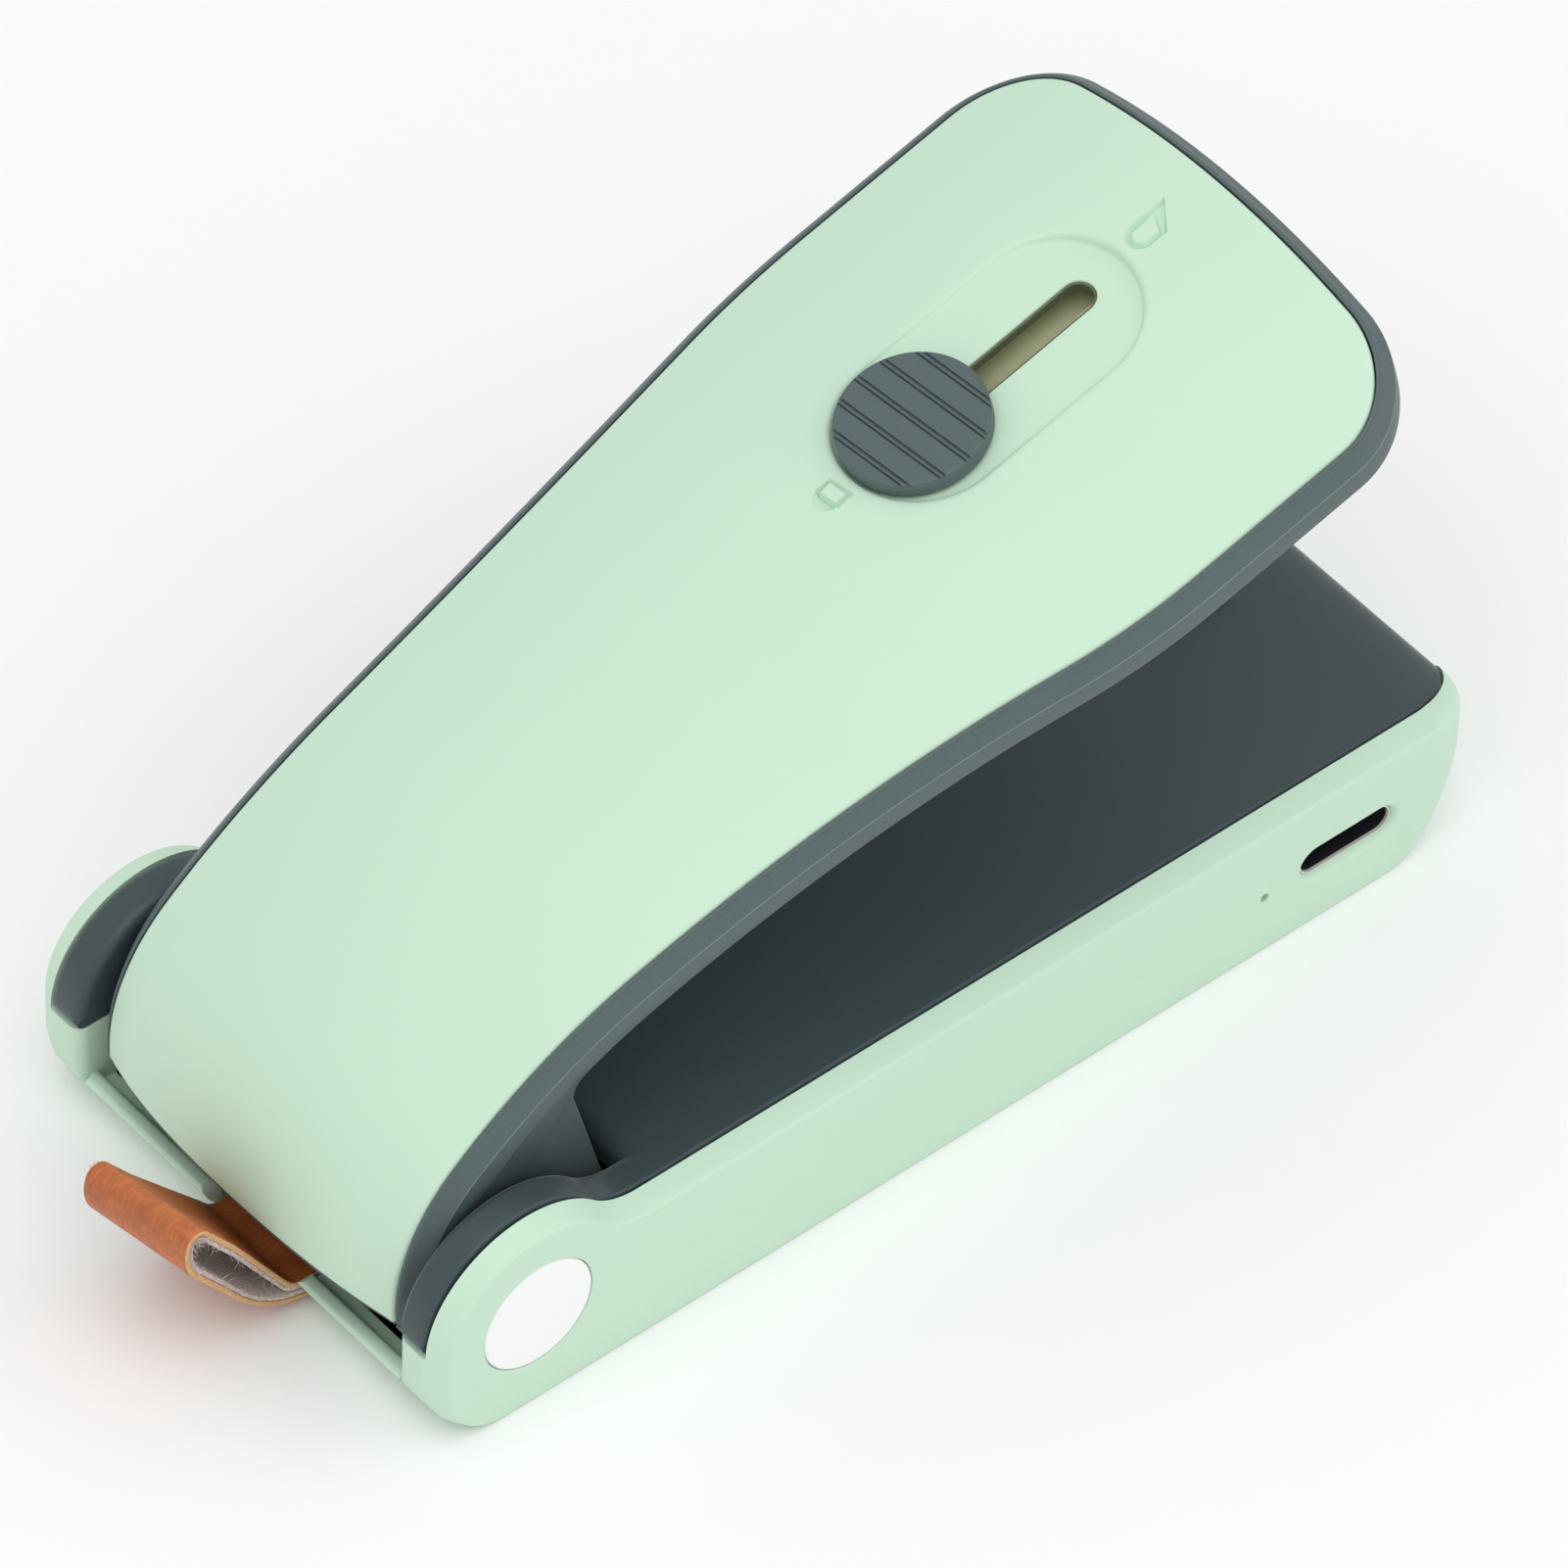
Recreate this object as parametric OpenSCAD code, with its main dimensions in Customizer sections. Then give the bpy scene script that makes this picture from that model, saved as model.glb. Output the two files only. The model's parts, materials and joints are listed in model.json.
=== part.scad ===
// Handheld bag sealer: a base with hinge ears, a sprung lever arm that presses a soft pad on a
// heated head, and a cutter blade that a knob slides out of the arm's nose.
// Origin: middle of the base's underside. +X points to the jaw's front, +Z up, hinge axis along Y.
// The arm stands open, as it rests.

/* [Base] */
// Width of the base
base_w = 50; // [46:0.5:56]
// Front face of the base, from the origin
front_x = 52.4; // [50:0.2:56]
// Top of the side cheeks
deck_z = 14.8; // [14:0.1:16]
// Radius of the prow, seen from the side
prow_r = 10; // [7:0.5:11]
// Radius of the front corners, seen from above
front_corner_r = 5; // [4:0.25:6]
// Radius of the rear bottom corner, seen from the side
rear_corner_r = 6.5; // [5:0.25:8]
// Radius of the dip between an ear and the deck
saddle_r = 6; // [4:0.25:8]
// Thickness of the side cheeks
cheek_t = 2; // [1.6:0.1:2.4]
// Thickness of the floor and the front wall
floor_t = 1.8; // [1.4:0.1:2.2]
// Height of the low rear wall
lip_h = 4.2; // [3.6:0.1:4.6]
// Width of each ear, cheek and ridge together
ear_w = 5.35; // [5:0.05:6]

/* [Hinge] */
// Hinge axis, from the origin
hinge_x = -44.3; // [-46:0.1:-43]
// Height of the hinge axis
hinge_z = 9.75; // [9.5:0.05:10.5]
// Outer radius of the ears
ear_r = 9.7; // [9.3:0.1:10]
// Radius of the hinge pin
pin_r = 2; // [1.6:0.1:2.3]
// Radius of the white caps
cap_r = 5.3; // [4.6:0.05:5.4]
// Thickness of the white caps
cap_t = 1.15; // [0.8:0.05:1.3]
// How far the arm is raised when it rests open
open_angle = 15.7; // [14:0.1:18]
// How far the arm turns down until the pad meets the head
close_angle = 19; // [18.2:0.1:19.4]

/* [Arm] */
// Height of the arm's straight crest above the hinge axis
crest_h = 23.6; // [23:0.1:25]
// Front end of the skin from the hinge axis
arm_front = 97; // [94:0.5:98]
// Where the straight crest begins
straight_u = 70.4; // [66:0.2:74]
// Radius of the long, flat arc behind the straight crest
long_r = 450; // [400:10:500]
// Turn of the long arc
long_a = 6.5; // [6:0.1:7]
// Radius of the middle arc
mid_r = 64; // [60:0.5:68]
// Turn of the middle arc
mid_a = 18.6; // [17:0.1:20]
// Radius of the arc over the hinge
back_r = 19.5; // [19:0.1:20.5]
// Turn of the arc over the hinge
back_a = 54; // [48:0.5:55]
// How much earlier the skin ends in the middle of its rear edge
rear_arch_a = 7.5; // [0:0.5:10]
// Radius of the crown across the arm
crown_r = 53; // [48:0.5:65]
// Thickness of the skin
skin_t = 1.8; // [1.6:0.1:2]
// Gap between the arm's bezel and an ear
ear_gap = 0.65; // [0.5:0.05:0.9]
// How far the skin stays inside the base's sides at the front
front_inset = 1.7; // [1.6:0.1:3]
// Where the flare of the skin starts
flare_from = 3; // [1:0.5:5]
// Where the flare of the skin ends
flare_to = 73.5; // [70:0.5:76]
// Part of the flare that curves outwards
flare_share = 0.815; // [0.75:0.005:0.85]
// Radius of the skin's front corners
nose_corner_r = 8; // [6:0.25:9]
// Width of the bezel outside the skin
bezel_w = 1.5; // [1.2:0.1:1.7]
// Height of the bezel's sloped shoulder
bezel_slope_h = 1.5; // [1:0.1:2]
// Whole height of the bezel
bezel_h = 3.6; // [3.2:0.1:4]

/* [Slider and cutter] */
// Knob's place along the arm when the blade is in
knob_u = 65.65; // [64:0.05:67]
// Radius of the knob
knob_r = 6.25; // [5.5:0.05:6.6]
// Thickness of the knob
knob_t = 1.75; // [1.4:0.05:2.2]
// Travel of the knob and the blade
slide_travel = 14; // [10:0.5:14.5]
// Half width of the recess round the knob
recess_half_w = 7.3; // [7:0.05:8]
// Depth of the recess under the crest
recess_d = 0.9; // [0.7:0.05:1]
// Width of the slot
slot_w = 3.1; // [2.6:0.1:3.4]
// Number of double ribs on the knob
rib_pairs = 5; // [3:1:5]
// Width of the blade
blade_w = 9; // [7:0.5:9.5]
// Thickness of the blade
blade_t = 0.6; // [0.4:0.05:0.7]

/* [Sealing head] */
// Middle of the head along the base
head_x = 38; // [36:0.5:40]
// Length of the head along the base
head_l = 11; // [9:0.5:12]
// Width of the head across the base
head_w = 8.4; // [7:0.2:8.6]
// Height of the head above the deck
head_rise = 1; // [0.8:0.05:1.2]
// Thickness of the press pad
pad_t = 1.8; // [1.4:0.1:2]

/* [Electrics] */
// Middle of the charging socket along the base
socket_x = 38.1; // [36:0.1:40]
// Height of the middle of the charging socket
socket_z = 6.6; // [6.2:0.1:7]
// Width of the charging socket's cut-out
socket_w = 9.2; // [9:0.05:9.6]
// Height of the charging socket's cut-out
socket_h = 3.5; // [3.4:0.05:3.8]
// Place of the light along the base
light_x = 29.5; // [29:0.1:31]
// Radius of the light's pin hole
light_r = 0.5; // [0.4:0.05:0.7]
// Length, width and height of the battery
battery_size = [40, 30, 6];
// Thickness of the circuit board
board_t = 1.2; // [0.8:0.1:1.4]

/* [Leather tab] */
// Width of the leather loop
tab_w = 10.6; // [9:0.2:11]
// Middle of the loop across the base
tab_y = -1.1; // [-3:0.1:3]
// Gap between the loop and each side of the notch in the rear wall
notch_gap = 0.5; // [0.4:0.05:1]
// Thickness of the leather with its lining
tab_t = 1.2; // [1:0.05:1.3]
// Straight length of the loop outside the wall
tab_l = 14.2; // [11:0.2:15]
// Slope of the loop
tab_slope = 53; // [45:0.5:55]
// Radius of the fold at the loop's outer end
tab_fold_r = 1.85; // [1.7:0.05:2.1]

/* [Hidden] */
$fn = 96;

MINT = [0.79, 0.90, 0.81];
DARK = [0.27, 0.32, 0.33];
STEEL = [0.75, 0.76, 0.78];

// Clearances
fit = 0.05;        // parts pushed together
seam = 0.2;        // seams between mouldings
running = 0.3;     // bodies that move past each other
eps = 0.01;
big = 200;

// Base, derived
rear_x = hinge_x - ear_r;
half_w = base_w / 2;
ear_in = half_w - ear_w;
rear_half_w = ear_in - ear_gap - bezel_w;
front_half_w = half_w - front_inset;
cover_top = deck_z - 0.25;
cover_t = 1.8;
cover_under = cover_top - cover_t;
saddle_x = hinge_x + sqrt(pow(ear_r + saddle_r, 2) - pow(deck_z + saddle_r - hinge_z, 2));
front_lip_h = 3;
front_lip_r = 2;
front_lip_half_w = half_w - front_corner_r - 0.3;
screw_r = 1;
screw_head_r = 1.9;
screw_head_h = 0.9;
base_screw_l = 8;
screw_cover = 4.9;
arm_screw_head_h = 0.7;
base_screw_xy = [for (x = [-26, 22], y = [-1, 1]) [x, y * (half_w - 5.5)]];
post_r = 2.4;
ridge_reach = 8;

// Arm, derived: u runs forward from the hinge axis, h upwards, with the straight crest level
long_c = [straight_u, crest_h - long_r];
mid_c = long_c + (long_r - mid_r) * back_dir(long_a);
back_c = mid_c + (mid_r - back_r) * back_dir(long_a + mid_a);
skin_end_a = long_a + mid_a + back_a;
flare_d = front_half_w - rear_half_w;
flare_sum = (pow(flare_to - flare_from, 2) + flare_d * flare_d) / (2 * flare_d);
flare_in_c = [flare_from, rear_half_w + flare_sum * flare_share];
flare_out_c = [flare_to, front_half_w - flare_sum * (1 - flare_share)];
knuckle_u = 11.6;
knuckle_wall = 1.5;
knuckle_low = -3.5;
leg_out = rear_half_w - 0.8;
leg_t = 1.5;
// cheeks of the knuckle, flush with the bezel's sides
cheek_out = rear_half_w + bezel_w - 0.1;
bush_r = 3;
bush_l = 3.4;
tray_top = 15.2;
tray_t = 1.3;
tray_low = tray_top - tray_t;
arm_screw_l = crest_h - tray_low - screw_cover;
tray_inset = 0.75;
tray_bend_u = 19;
nose_wall_t = 1.65;
nose_wall_half_w = front_half_w - nose_corner_r + 1;
skin_columns = 6;
tilt = close_angle - open_angle;
well_x = hinge_x + knuckle_u * cos(tilt) + (cover_top - hinge_z) * sin(tilt) + 0.45;
well_wall = 1.2;
arm_screw_uy = [for (p = [[30, rear_half_w - 7.5], [arm_front - 11, front_half_w - 7.3]], s = [-1, 1])
    [p[0], s * p[1]]];

// Cutter, derived
recess_floor = crest_h - recess_d;
guide_t = 1;
guide_lid_t = 0.7;
guide_top = tray_top + 4.1;
lid_low = guide_top - guide_lid_t;
rivet_out = 0.3;
blade_low = tray_top + guide_t + rivet_out + running;
blade_top = blade_low + blade_t;
blade_back = knob_u + 2.5;
blade_front = arm_front - 1.1;
recess_from = knob_u + 0.7;
recess_end = knob_u + slide_travel + 0.3;
shuttle_half_w = 4.6;
shuttle_l = 12;
stem_l = 5;
slot_from = knob_u - stem_l / 2 + 0.4;
slot_to = knob_u + slide_travel + stem_l / 2 + 0.5;
stem_t = 1;
shuttle_top = lid_low - running;
guide_half_w = 7;
rail_in = 5.4;

// Head and pad, derived; the pad is placed as it lies when the arm is closed
film_t = 0.25;
element_t = 0.6;
head_top = cover_top + head_rise;
block_top = head_top - film_t - element_t;
block_low = 8;
pad_low = head_top + 0.15;
pad_top = pad_low + pad_t;

// Electrics, derived
board_top = socket_z - 1.65;
board_low = board_top - board_t;
board_x = [27, front_x - prow_r + sqrt(pow(prow_r - floor_t, 2) - pow(prow_r - board_low, 2)) - seam];
board_y = [-(half_w - cheek_t - 0.5), -6.5];
socket_depth = 7.3;
lead_r = 0.6;
battery_x = -4;

// Leather tab, derived
tab_low = 0.4;
tab_bend_r = 3.4;
tab_exit = [rear_x + 1.3, 2.2];
tab_tail_x = rear_x + rear_corner_r + 2.5;
notch_half_w = tab_w / 2 + notch_gap;
notch_d = 3.4;

// Switch, derived
switch_x = -34.7;
switch_y = 9.6;
switch_half = 2.5;
switch_top = floor_t + 2.8;
button_r = 1.3;
button_top = switch_top + 0.8;
button_travel = 0.5;

// Spring, derived
wire_r = 0.45;
coil_r = 3.2;
coil_pitch = 1.4;
coil_turns = 8;

function back_dir(a) = [-sin(a), cos(a)];
function sag(y) = crown_r - sqrt(crown_r * crown_r - y * y);
function floor_z_closed(x) =
    let (u = (x - hinge_x - tray_low * sin(tilt)) / cos(tilt))
    hinge_z + tray_low * cos(tilt) - u * sin(tilt);

// Helpers

// A box between two corners
module box(low, high) {
    translate(low) cube(high - low);
}

// A side outline in X and Z, thick from y0 to y1
module along_y(y0, y1) {
    translate([0, y1, 0]) rotate([90, 0, 0]) linear_extrude(y1 - y0) children();
}

// A round bar along Y
module bar_y(x, z, r, y0, y1) {
    translate([x, y1, z]) rotate([90, 0, 0]) cylinder(h = y1 - y0, r = r);
}

// Both sides of what is drawn at positive Y
module both_sides() {
    children();
    mirror([0, 1, 0]) children();
}

// From the arm's own frame to the open arm
module arm_pose() {
    translate([hinge_x, 0, hinge_z]) rotate([0, -open_angle, 0]) children();
}

// From the place on the closed arm to the open arm
module from_closed() {
    translate([hinge_x, 0, hinge_z]) rotate([0, -close_angle, 0])
        translate([-hinge_x, 0, -hinge_z]) children();
}

// Side outline of the base, drawn in by a wall
module base_profile(wall) {
    rear_c = [rear_x + rear_corner_r, rear_corner_r];
    prow_c = [front_x - prow_r, prow_r];
    saddle_c = [saddle_x, deck_z + saddle_r];
    ear_c = [hinge_x, hinge_z];
    touch = ear_c + (saddle_c - ear_c) * ear_r / (ear_r + saddle_r);
    translate(ear_c) circle(ear_r - wall);
    translate(rear_c) circle(rear_corner_r - wall);
    translate([rear_x + wall, rear_corner_r]) square([ear_r - wall, hinge_z - rear_corner_r]);
    translate([rear_c[0], wall]) square([prow_c[0] - rear_c[0], hinge_z - wall]);
    translate([hinge_x, hinge_z - eps]) square([front_x - wall - hinge_x, deck_z - wall - hinge_z + eps]);
    intersection() {
        translate(prow_c) circle(prow_r - wall);
        translate([prow_c[0] - 1, 0]) square([prow_r + 2, prow_r]);
    }
    translate([prow_c[0] - 1, prow_r - eps]) square([prow_r + 1 - wall, deck_z - wall - prow_r]);
    difference() {
        polygon([ear_c, touch, saddle_c, [saddle_x, deck_z - wall], [saddle_x, hinge_z]]);
        translate(saddle_c) circle(saddle_r + wall);
    }
}

// Outline of the base from above, drawn in by a wall
module base_plan(wall) {
    corner_x = front_x - front_corner_r;
    corner_y = half_w - front_corner_r;
    translate([rear_x - 1, -half_w + wall]) square([corner_x - rear_x + 1, base_w - 2 * wall]);
    translate([0, -corner_y]) square([front_x - wall, 2 * corner_y]);
    for (s = [-1, 1])
        translate([corner_x, s * corner_y]) circle(front_corner_r - wall);
}

// Outline of the arm from above, in its own frame, grown by a margin
module arm_plan(grow) {
    nose = [arm_front - nose_corner_r, front_half_w - nose_corner_r];
    near = concat(
        [[-20, rear_half_w + grow]],
        [for (i = [0:20]) let (u = flare_from + (flare_to - flare_from) * i / 20) [u, skin_half_w(u) + grow]],
        [for (i = [0:8]) nose + (nose_corner_r + grow) * [sin(90 * i / 8), cos(90 * i / 8)]]
    );
    far = [for (i = [len(near) - 1:-1:0]) [near[i][0], -near[i][1]]];
    polygon(concat(near, far));
}

// What lies inside the arm's outline
module in_arm_plan(grow) {
    intersection() {
        children();
        translate([0, 0, -30]) linear_extrude(80) arm_plan(grow);
    }
}

// Crowned cross-section between two depths under the crest, which lies at height top
module crown_section(top, d0, d1, width) {
    intersection() {
        translate([0, top - crown_r]) difference() {
            circle(crown_r - d0, $fn = 720);
            circle(crown_r - d1, $fn = 720);
        }
        translate([-width, top - 12]) square([2 * width, 13]);
    }
}

// The crowned section pushed along the straight crest
module crown_run(u0, u1, d0, d1, width) {
    translate([u0, 0, 0]) rotate([90, 0, 90]) linear_extrude(u1 - u0)
        crown_section(crest_h, d0, d1, width);
}

// A closed tube of rings joined by triangles; each ring is a list of points
module ring_tube(rings) {
    n = len(rings[0]);
    m = len(rings);
    walls = [
        for (i = [0:m - 2], j = [0:n - 1])
            let (k = (j + 1) % n)
            each [
                [i * n + j, i * n + k, (i + 1) * n + k],
                [i * n + j, (i + 1) * n + k, (i + 1) * n + j]
            ]
    ];
    first = [for (j = [n - 1:-1:0]) j];
    last = [for (j = [0:n - 1]) (m - 1) * n + j];
    polyhedron([for (r = rings) each r], concat([first], walls, [last]));
}

// Base pieces

module base_shell() {
    color(MINT) difference() {
        union() {
            difference() {
                intersection() {
                    along_y(-half_w, half_w) base_profile(0);
                    translate([0, 0, -1]) linear_extrude(40) base_plan(0);
                }
                intersection() {
                    union() {
                        along_y(-big, big) base_profile(floor_t);
                        box([-big, -big, deck_z - 5], [front_x - floor_t, big, big]);
                    }
                    translate([0, 0, floor_t]) linear_extrude(40) base_plan(cheek_t);
                }
            }
            both_sides() ear_saddle();
            head_post();
            for (y = [board_y[0] + 2.5, board_y[1] - 2.5], x = [board_x[0] + 2.5, board_x[1] - 2.5])
                translate([x, y, floor_t - eps]) cylinder(h = board_low - floor_t + eps, r = 1.8);
        }
        // above the low rear wall, and above the ear saddles
        box([-big, -ear_in, lip_h], [saddle_x, ear_in, big]);
        box([-big, -half_w + cheek_t, hinge_z], [saddle_x, half_w - cheek_t, big]);
        // front edge under the cover's rolled lip
        box([front_x - 3, -front_lip_half_w - seam, cover_top - front_lip_h - seam],
            [front_x + 1, front_lip_half_w + seam, big]);
        // notch and pocket for the leather tab
        translate([0, tab_y, 0]) {
            box([-big, -notch_half_w, -1], [rear_x + notch_d, notch_half_w, big]);
            box([rear_x + notch_d - eps, -tab_w / 2 - seam, tab_low - 0.1],
                [tab_tail_x + seam, tab_w / 2 + seam, floor_t + 1]);
        }
        // hinge pin and its caps
        bar_y(hinge_x, hinge_z, pin_r + fit / 2, -half_w + 1, half_w - 1);
        both_sides() bar_y(hinge_x, hinge_z, cap_r + fit, half_w - cap_t - fit, half_w + 1);
        // charging socket and light
        stadium_y(socket_x, socket_z, socket_w, socket_h, -half_w - 1, -half_w + cheek_t + 1);
        bar_y(light_x, socket_z - 0.3, light_r + fit / 2, -half_w - 1, -half_w + cheek_t + 1);
        for (p = base_screw_xy) translate([p[0], p[1], -eps]) {
            cylinder(h = screw_head_h + 2 * eps, r = screw_head_r + fit);
            cylinder(h = floor_t + 1, r = screw_r + fit);
        }
    }
}

// Lower half of the hinge's bearing, inside an ear
module ear_saddle() {
    intersection() {
        along_y(ear_in, half_w - cheek_t + eps) base_profile(0);
        box([-big, 0, -1], [hinge_x + 7, big, hinge_z]);
    }
}

// Pedestal that carries the heater block
module head_post() {
    box([head_x - 4, -3, floor_t - eps], [head_x + 4, 3, block_low]);
}

// A bar along Y with a flat-sided round section
module stadium_y(x, z, w, h, y0, y1) {
    r = h / 2;
    for (s = [-1, 1]) bar_y(x + s * (w / 2 - r), z, r, y0, y1);
    box([x - w / 2 + r, y0, z - r], [x + w / 2 - r, y1, z + r]);
}

module base_cover() {
    side = cheek_t + seam;
    color(DARK) difference() {
        union() {
            intersection() {
                translate([0, 0, cover_under]) linear_extrude(cover_t) base_plan(side);
                box([well_x, -big, 0], [big, big, big]);
            }
            cover_lip();
            both_sides() cover_ridge();
            box([well_x, -ear_in - 1, floor_t + fit], [well_x + well_wall, ear_in + 1, cover_under + eps]);
            for (p = base_screw_xy)
                translate([p[0], p[1], floor_t + fit]) cylinder(h = cover_under - floor_t, r = post_r);
        }
        for (p = base_screw_xy) translate([p[0], p[1], 0]) cylinder(h = base_screw_l + 1, r = screw_r);
        bar_y(hinge_x, hinge_z, pin_r + fit, -half_w, half_w);
        box([head_x - head_l / 2 - seam, -head_w / 2 - seam, 0],
            [head_x + head_l / 2 + seam, head_w / 2 + seam, big]);
    }
}

// Rolled front edge of the deck
module cover_lip() {
    along_y(-front_lip_half_w, front_lip_half_w) {
        low = cover_top - front_lip_h;
        translate([front_x - 4, cover_under]) square([4 - front_lip_r + eps, cover_t]);
        translate([front_x - front_lip_r, low]) square([front_lip_r, front_lip_h - front_lip_r]);
        intersection() {
            translate([front_x - front_lip_r, cover_top - front_lip_r]) circle(front_lip_r);
            translate([front_x - front_lip_r - eps, cover_top - front_lip_r - eps])
                square(front_lip_r + 1);
        }
    }
}

// Dark ridge inside an ear, which runs down into the deck
module cover_ridge() {
    drop = deck_z - cover_top;
    along_y(ear_in, half_w - cheek_t - seam) intersection() {
        base_profile(drop);
        union() {
            translate([rear_x - 1, hinge_z + seam]) square([hinge_x + ridge_reach - rear_x, 20]);
            translate([rear_x, cover_under]) square([well_x + ridge_reach / 2 - rear_x, 20]);
        }
    }
}

module hinge_caps() {
    color("white") both_sides() bar_y(hinge_x, hinge_z, cap_r, half_w - cap_t, half_w);
}

module hinge_pin() {
    end = half_w - cap_t - 2 * fit;
    color(STEEL) bar_y(hinge_x, hinge_z, pin_r, -end, end);
}

// Wire rings of the spring: a leg down to the floor, the coil and a leg towards the arm's wall
module torsion_spring() {
    turn_end = 360 * coil_turns - 60;
    steps = coil_turns * 8 - 1;
    half = coil_pitch * coil_turns / 2;
    helix = [for (i = [0:steps]) let (a = i * turn_end / steps)
        [coil_r * cos(a), -half + coil_pitch * a / 360, coil_r * sin(a)]];
    tail = helix[steps];
    path = concat(
        [[coil_r, -half, floor_t + wire_r - hinge_z], [coil_r, -half, -1.6]],
        helix,
        [tail + [1.4 * cos(30), 0.1, 1.4 * sin(30)], tail + [6 * cos(30), 0.1, 6 * sin(30)]]
    );
    count = len(path);
    rings = [for (i = [0:count - 1])
        let (
            d = unit(path[min(i + 1, count - 1)] - path[max(i - 1, 0)]),
            side = unit(cross(d, [0, 1, 0])),
            up = cross(side, d)
        )
        [for (j = [0:5]) path[i] + wire_r * (cos(60 * j) * side + sin(60 * j) * up)]];
    echo(least_gap_between_spring_turns = coil_pitch - 2 * wire_r);
    color(STEEL) translate([hinge_x, 0, hinge_z]) ring_tube(rings);
}

function unit(v) = v / norm(v);

module base_screws() {
    color(STEEL) for (p = base_screw_xy) translate([p[0], p[1], 0]) {
        cylinder(h = screw_head_h, r = screw_head_r);
        cylinder(h = base_screw_l, r = screw_r - fit / 2);
    }
}

module battery() {
    color("silver") translate([battery_x - battery_size[0] / 2, -battery_size[1] / 2, floor_t])
        cube(battery_size);
}

module circuit_board() {
    color("seagreen") box([board_x[0], board_y[0], board_low], [board_x[1], board_y[1], board_top]);
}

module usb_socket() {
    wall = 0.35;
    mouth = -half_w + 0.6;
    color(STEEL) difference() {
        union() {
            stadium_y(socket_x, socket_z, socket_w - 0.26, socket_h - 0.24, mouth, mouth + socket_depth);
            box([socket_x - 3.6, mouth + cheek_t + 0.5, board_top],
                [socket_x + 3.6, mouth + socket_depth, socket_z]);
        }
        stadium_y(socket_x, socket_z, socket_w - 0.26 - 2 * wall, socket_h - 0.24 - 2 * wall,
            mouth - 1, mouth + socket_depth - 1);
    }
    color("black") box([socket_x - 3.3, mouth + 0.8, socket_z - 0.35],
        [socket_x + 3.3, mouth + socket_depth - 0.9, socket_z + 0.35]);
}

module status_led() {
    z = socket_z - 0.3;
    color("ivory") {
        bar_y(light_x, z, light_r, -half_w, -half_w + cheek_t + 0.9);
        box([light_x - 0.9, -half_w + cheek_t + 0.8, board_top], [light_x + 0.9, -half_w + cheek_t + 2.4, z + 0.9]);
    }
}

module battery_leads() {
    from = battery_x + battery_size[0] / 2;
    z = board_top + lead_r;
    y0 = -battery_size[1] / 2 + 3;
    for (i = [0, 1]) color(i == 0 ? "red" : "black")
        translate([from, y0 + 3 * (1 - i), z]) rotate([0, 90, 0]) cylinder(h = board_x[0] + 2 - from, r = lead_r);
}

module heater_leads() {
    y0 = board_y[1] - 0.9;
    z1 = block_low + 1.4;
    for (x = [head_x - 3, head_x + 3]) color("red") {
        translate([x, y0, board_top]) cylinder(h = z1 - board_top, r = lead_r);
        translate([x, y0, z1]) sphere(lead_r);
        bar_y(x, z1, lead_r, y0, -head_w / 2);
    }
}

module heater_block() {
    color("linen") union() {
        box([head_x - head_l / 2, -head_w / 2, block_low], [head_x + head_l / 2, head_w / 2, block_top]);
        // shoulder under the deck
        box([head_x - head_l / 2 - 0.6, -head_w / 2 - 1.5, cover_under - 2],
            [head_x + head_l / 2 + 0.6, head_w / 2 + 1.5, cover_under]);
    }
}

module heating_element() {
    color("goldenrod") box([head_x - head_l / 2 + 0.8, -head_w / 2 + 0.6, block_top],
        [head_x + head_l / 2 - 0.8, head_w / 2 - 0.6, block_top + element_t]);
}

module heater_film() {
    color("tan") box([head_x - head_l / 2, -head_w / 2, head_top - film_t],
        [head_x + head_l / 2, head_w / 2, head_top]);
}

module press_switch() {
    color("dimgray") difference() {
        box([switch_x - switch_half, switch_y - switch_half, floor_t],
            [switch_x + switch_half, switch_y + switch_half, switch_top]);
        translate([switch_x, switch_y, switch_top - 1.6]) cylinder(h = 3, r = button_r + fit);
    }
}

module switch_button() {
    color("firebrick") translate([switch_x, switch_y, switch_top - 1])
        cylinder(h = button_top - switch_top + 1, r = button_r);
}

// Side outline of the leather loop, from the rear wall outwards
module tab_outline() {
    along = [-cos(tab_slope), sin(tab_slope)];
    across = [-sin(tab_slope), -cos(tab_slope)];
    depth = 2 * tab_fold_r;
    outer_r = tab_bend_r + tab_t;
    // where the lower layer starts to bend level
    from = (tab_low - tab_exit[1] + depth * cos(tab_slope) + outer_r * (1 - cos(tab_slope))) / sin(tab_slope);
    bend_c = tab_exit + from * along + (depth - outer_r) * across;
    translate(tab_exit) rotate(180 - tab_slope) {
        translate([-1.4, 0]) square([tab_l + 1.4, tab_t]);
        translate([from, depth - tab_t]) square([tab_l - from, tab_t]);
        translate([tab_l, tab_fold_r]) difference() {
            circle(tab_fold_r);
            circle(tab_fold_r - tab_t);
            translate([-big - eps, -big / 2]) square([big, big]);
        }
    }
    difference() {
        translate(bend_c) circle(outer_r);
        translate(bend_c) circle(tab_bend_r);
        translate(bend_c) rotate(180 - tab_slope) translate([eps, -big]) square([big, 2 * big]);
        translate([bend_c[0] + eps, -big]) square([big, 2 * big]);
    }
    translate([bend_c[0], tab_low]) square([tab_tail_x - bend_c[0], tab_t]);
}

module leather_tab() {
    color("sienna") along_y(tab_y - tab_w / 2, tab_y + tab_w / 2) tab_outline();
}

// Bar over the tab's tail, which rests on the floor beside it
module tab_clamp() {
    half = tab_w / 2 + 2.5;
    color("dimgray") box([rear_x + rear_corner_r + seam, tab_y - half, floor_t],
        [tab_tail_x + 2 * seam, tab_y + half, floor_t + 1.2]);
}

// Arm pieces

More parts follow.
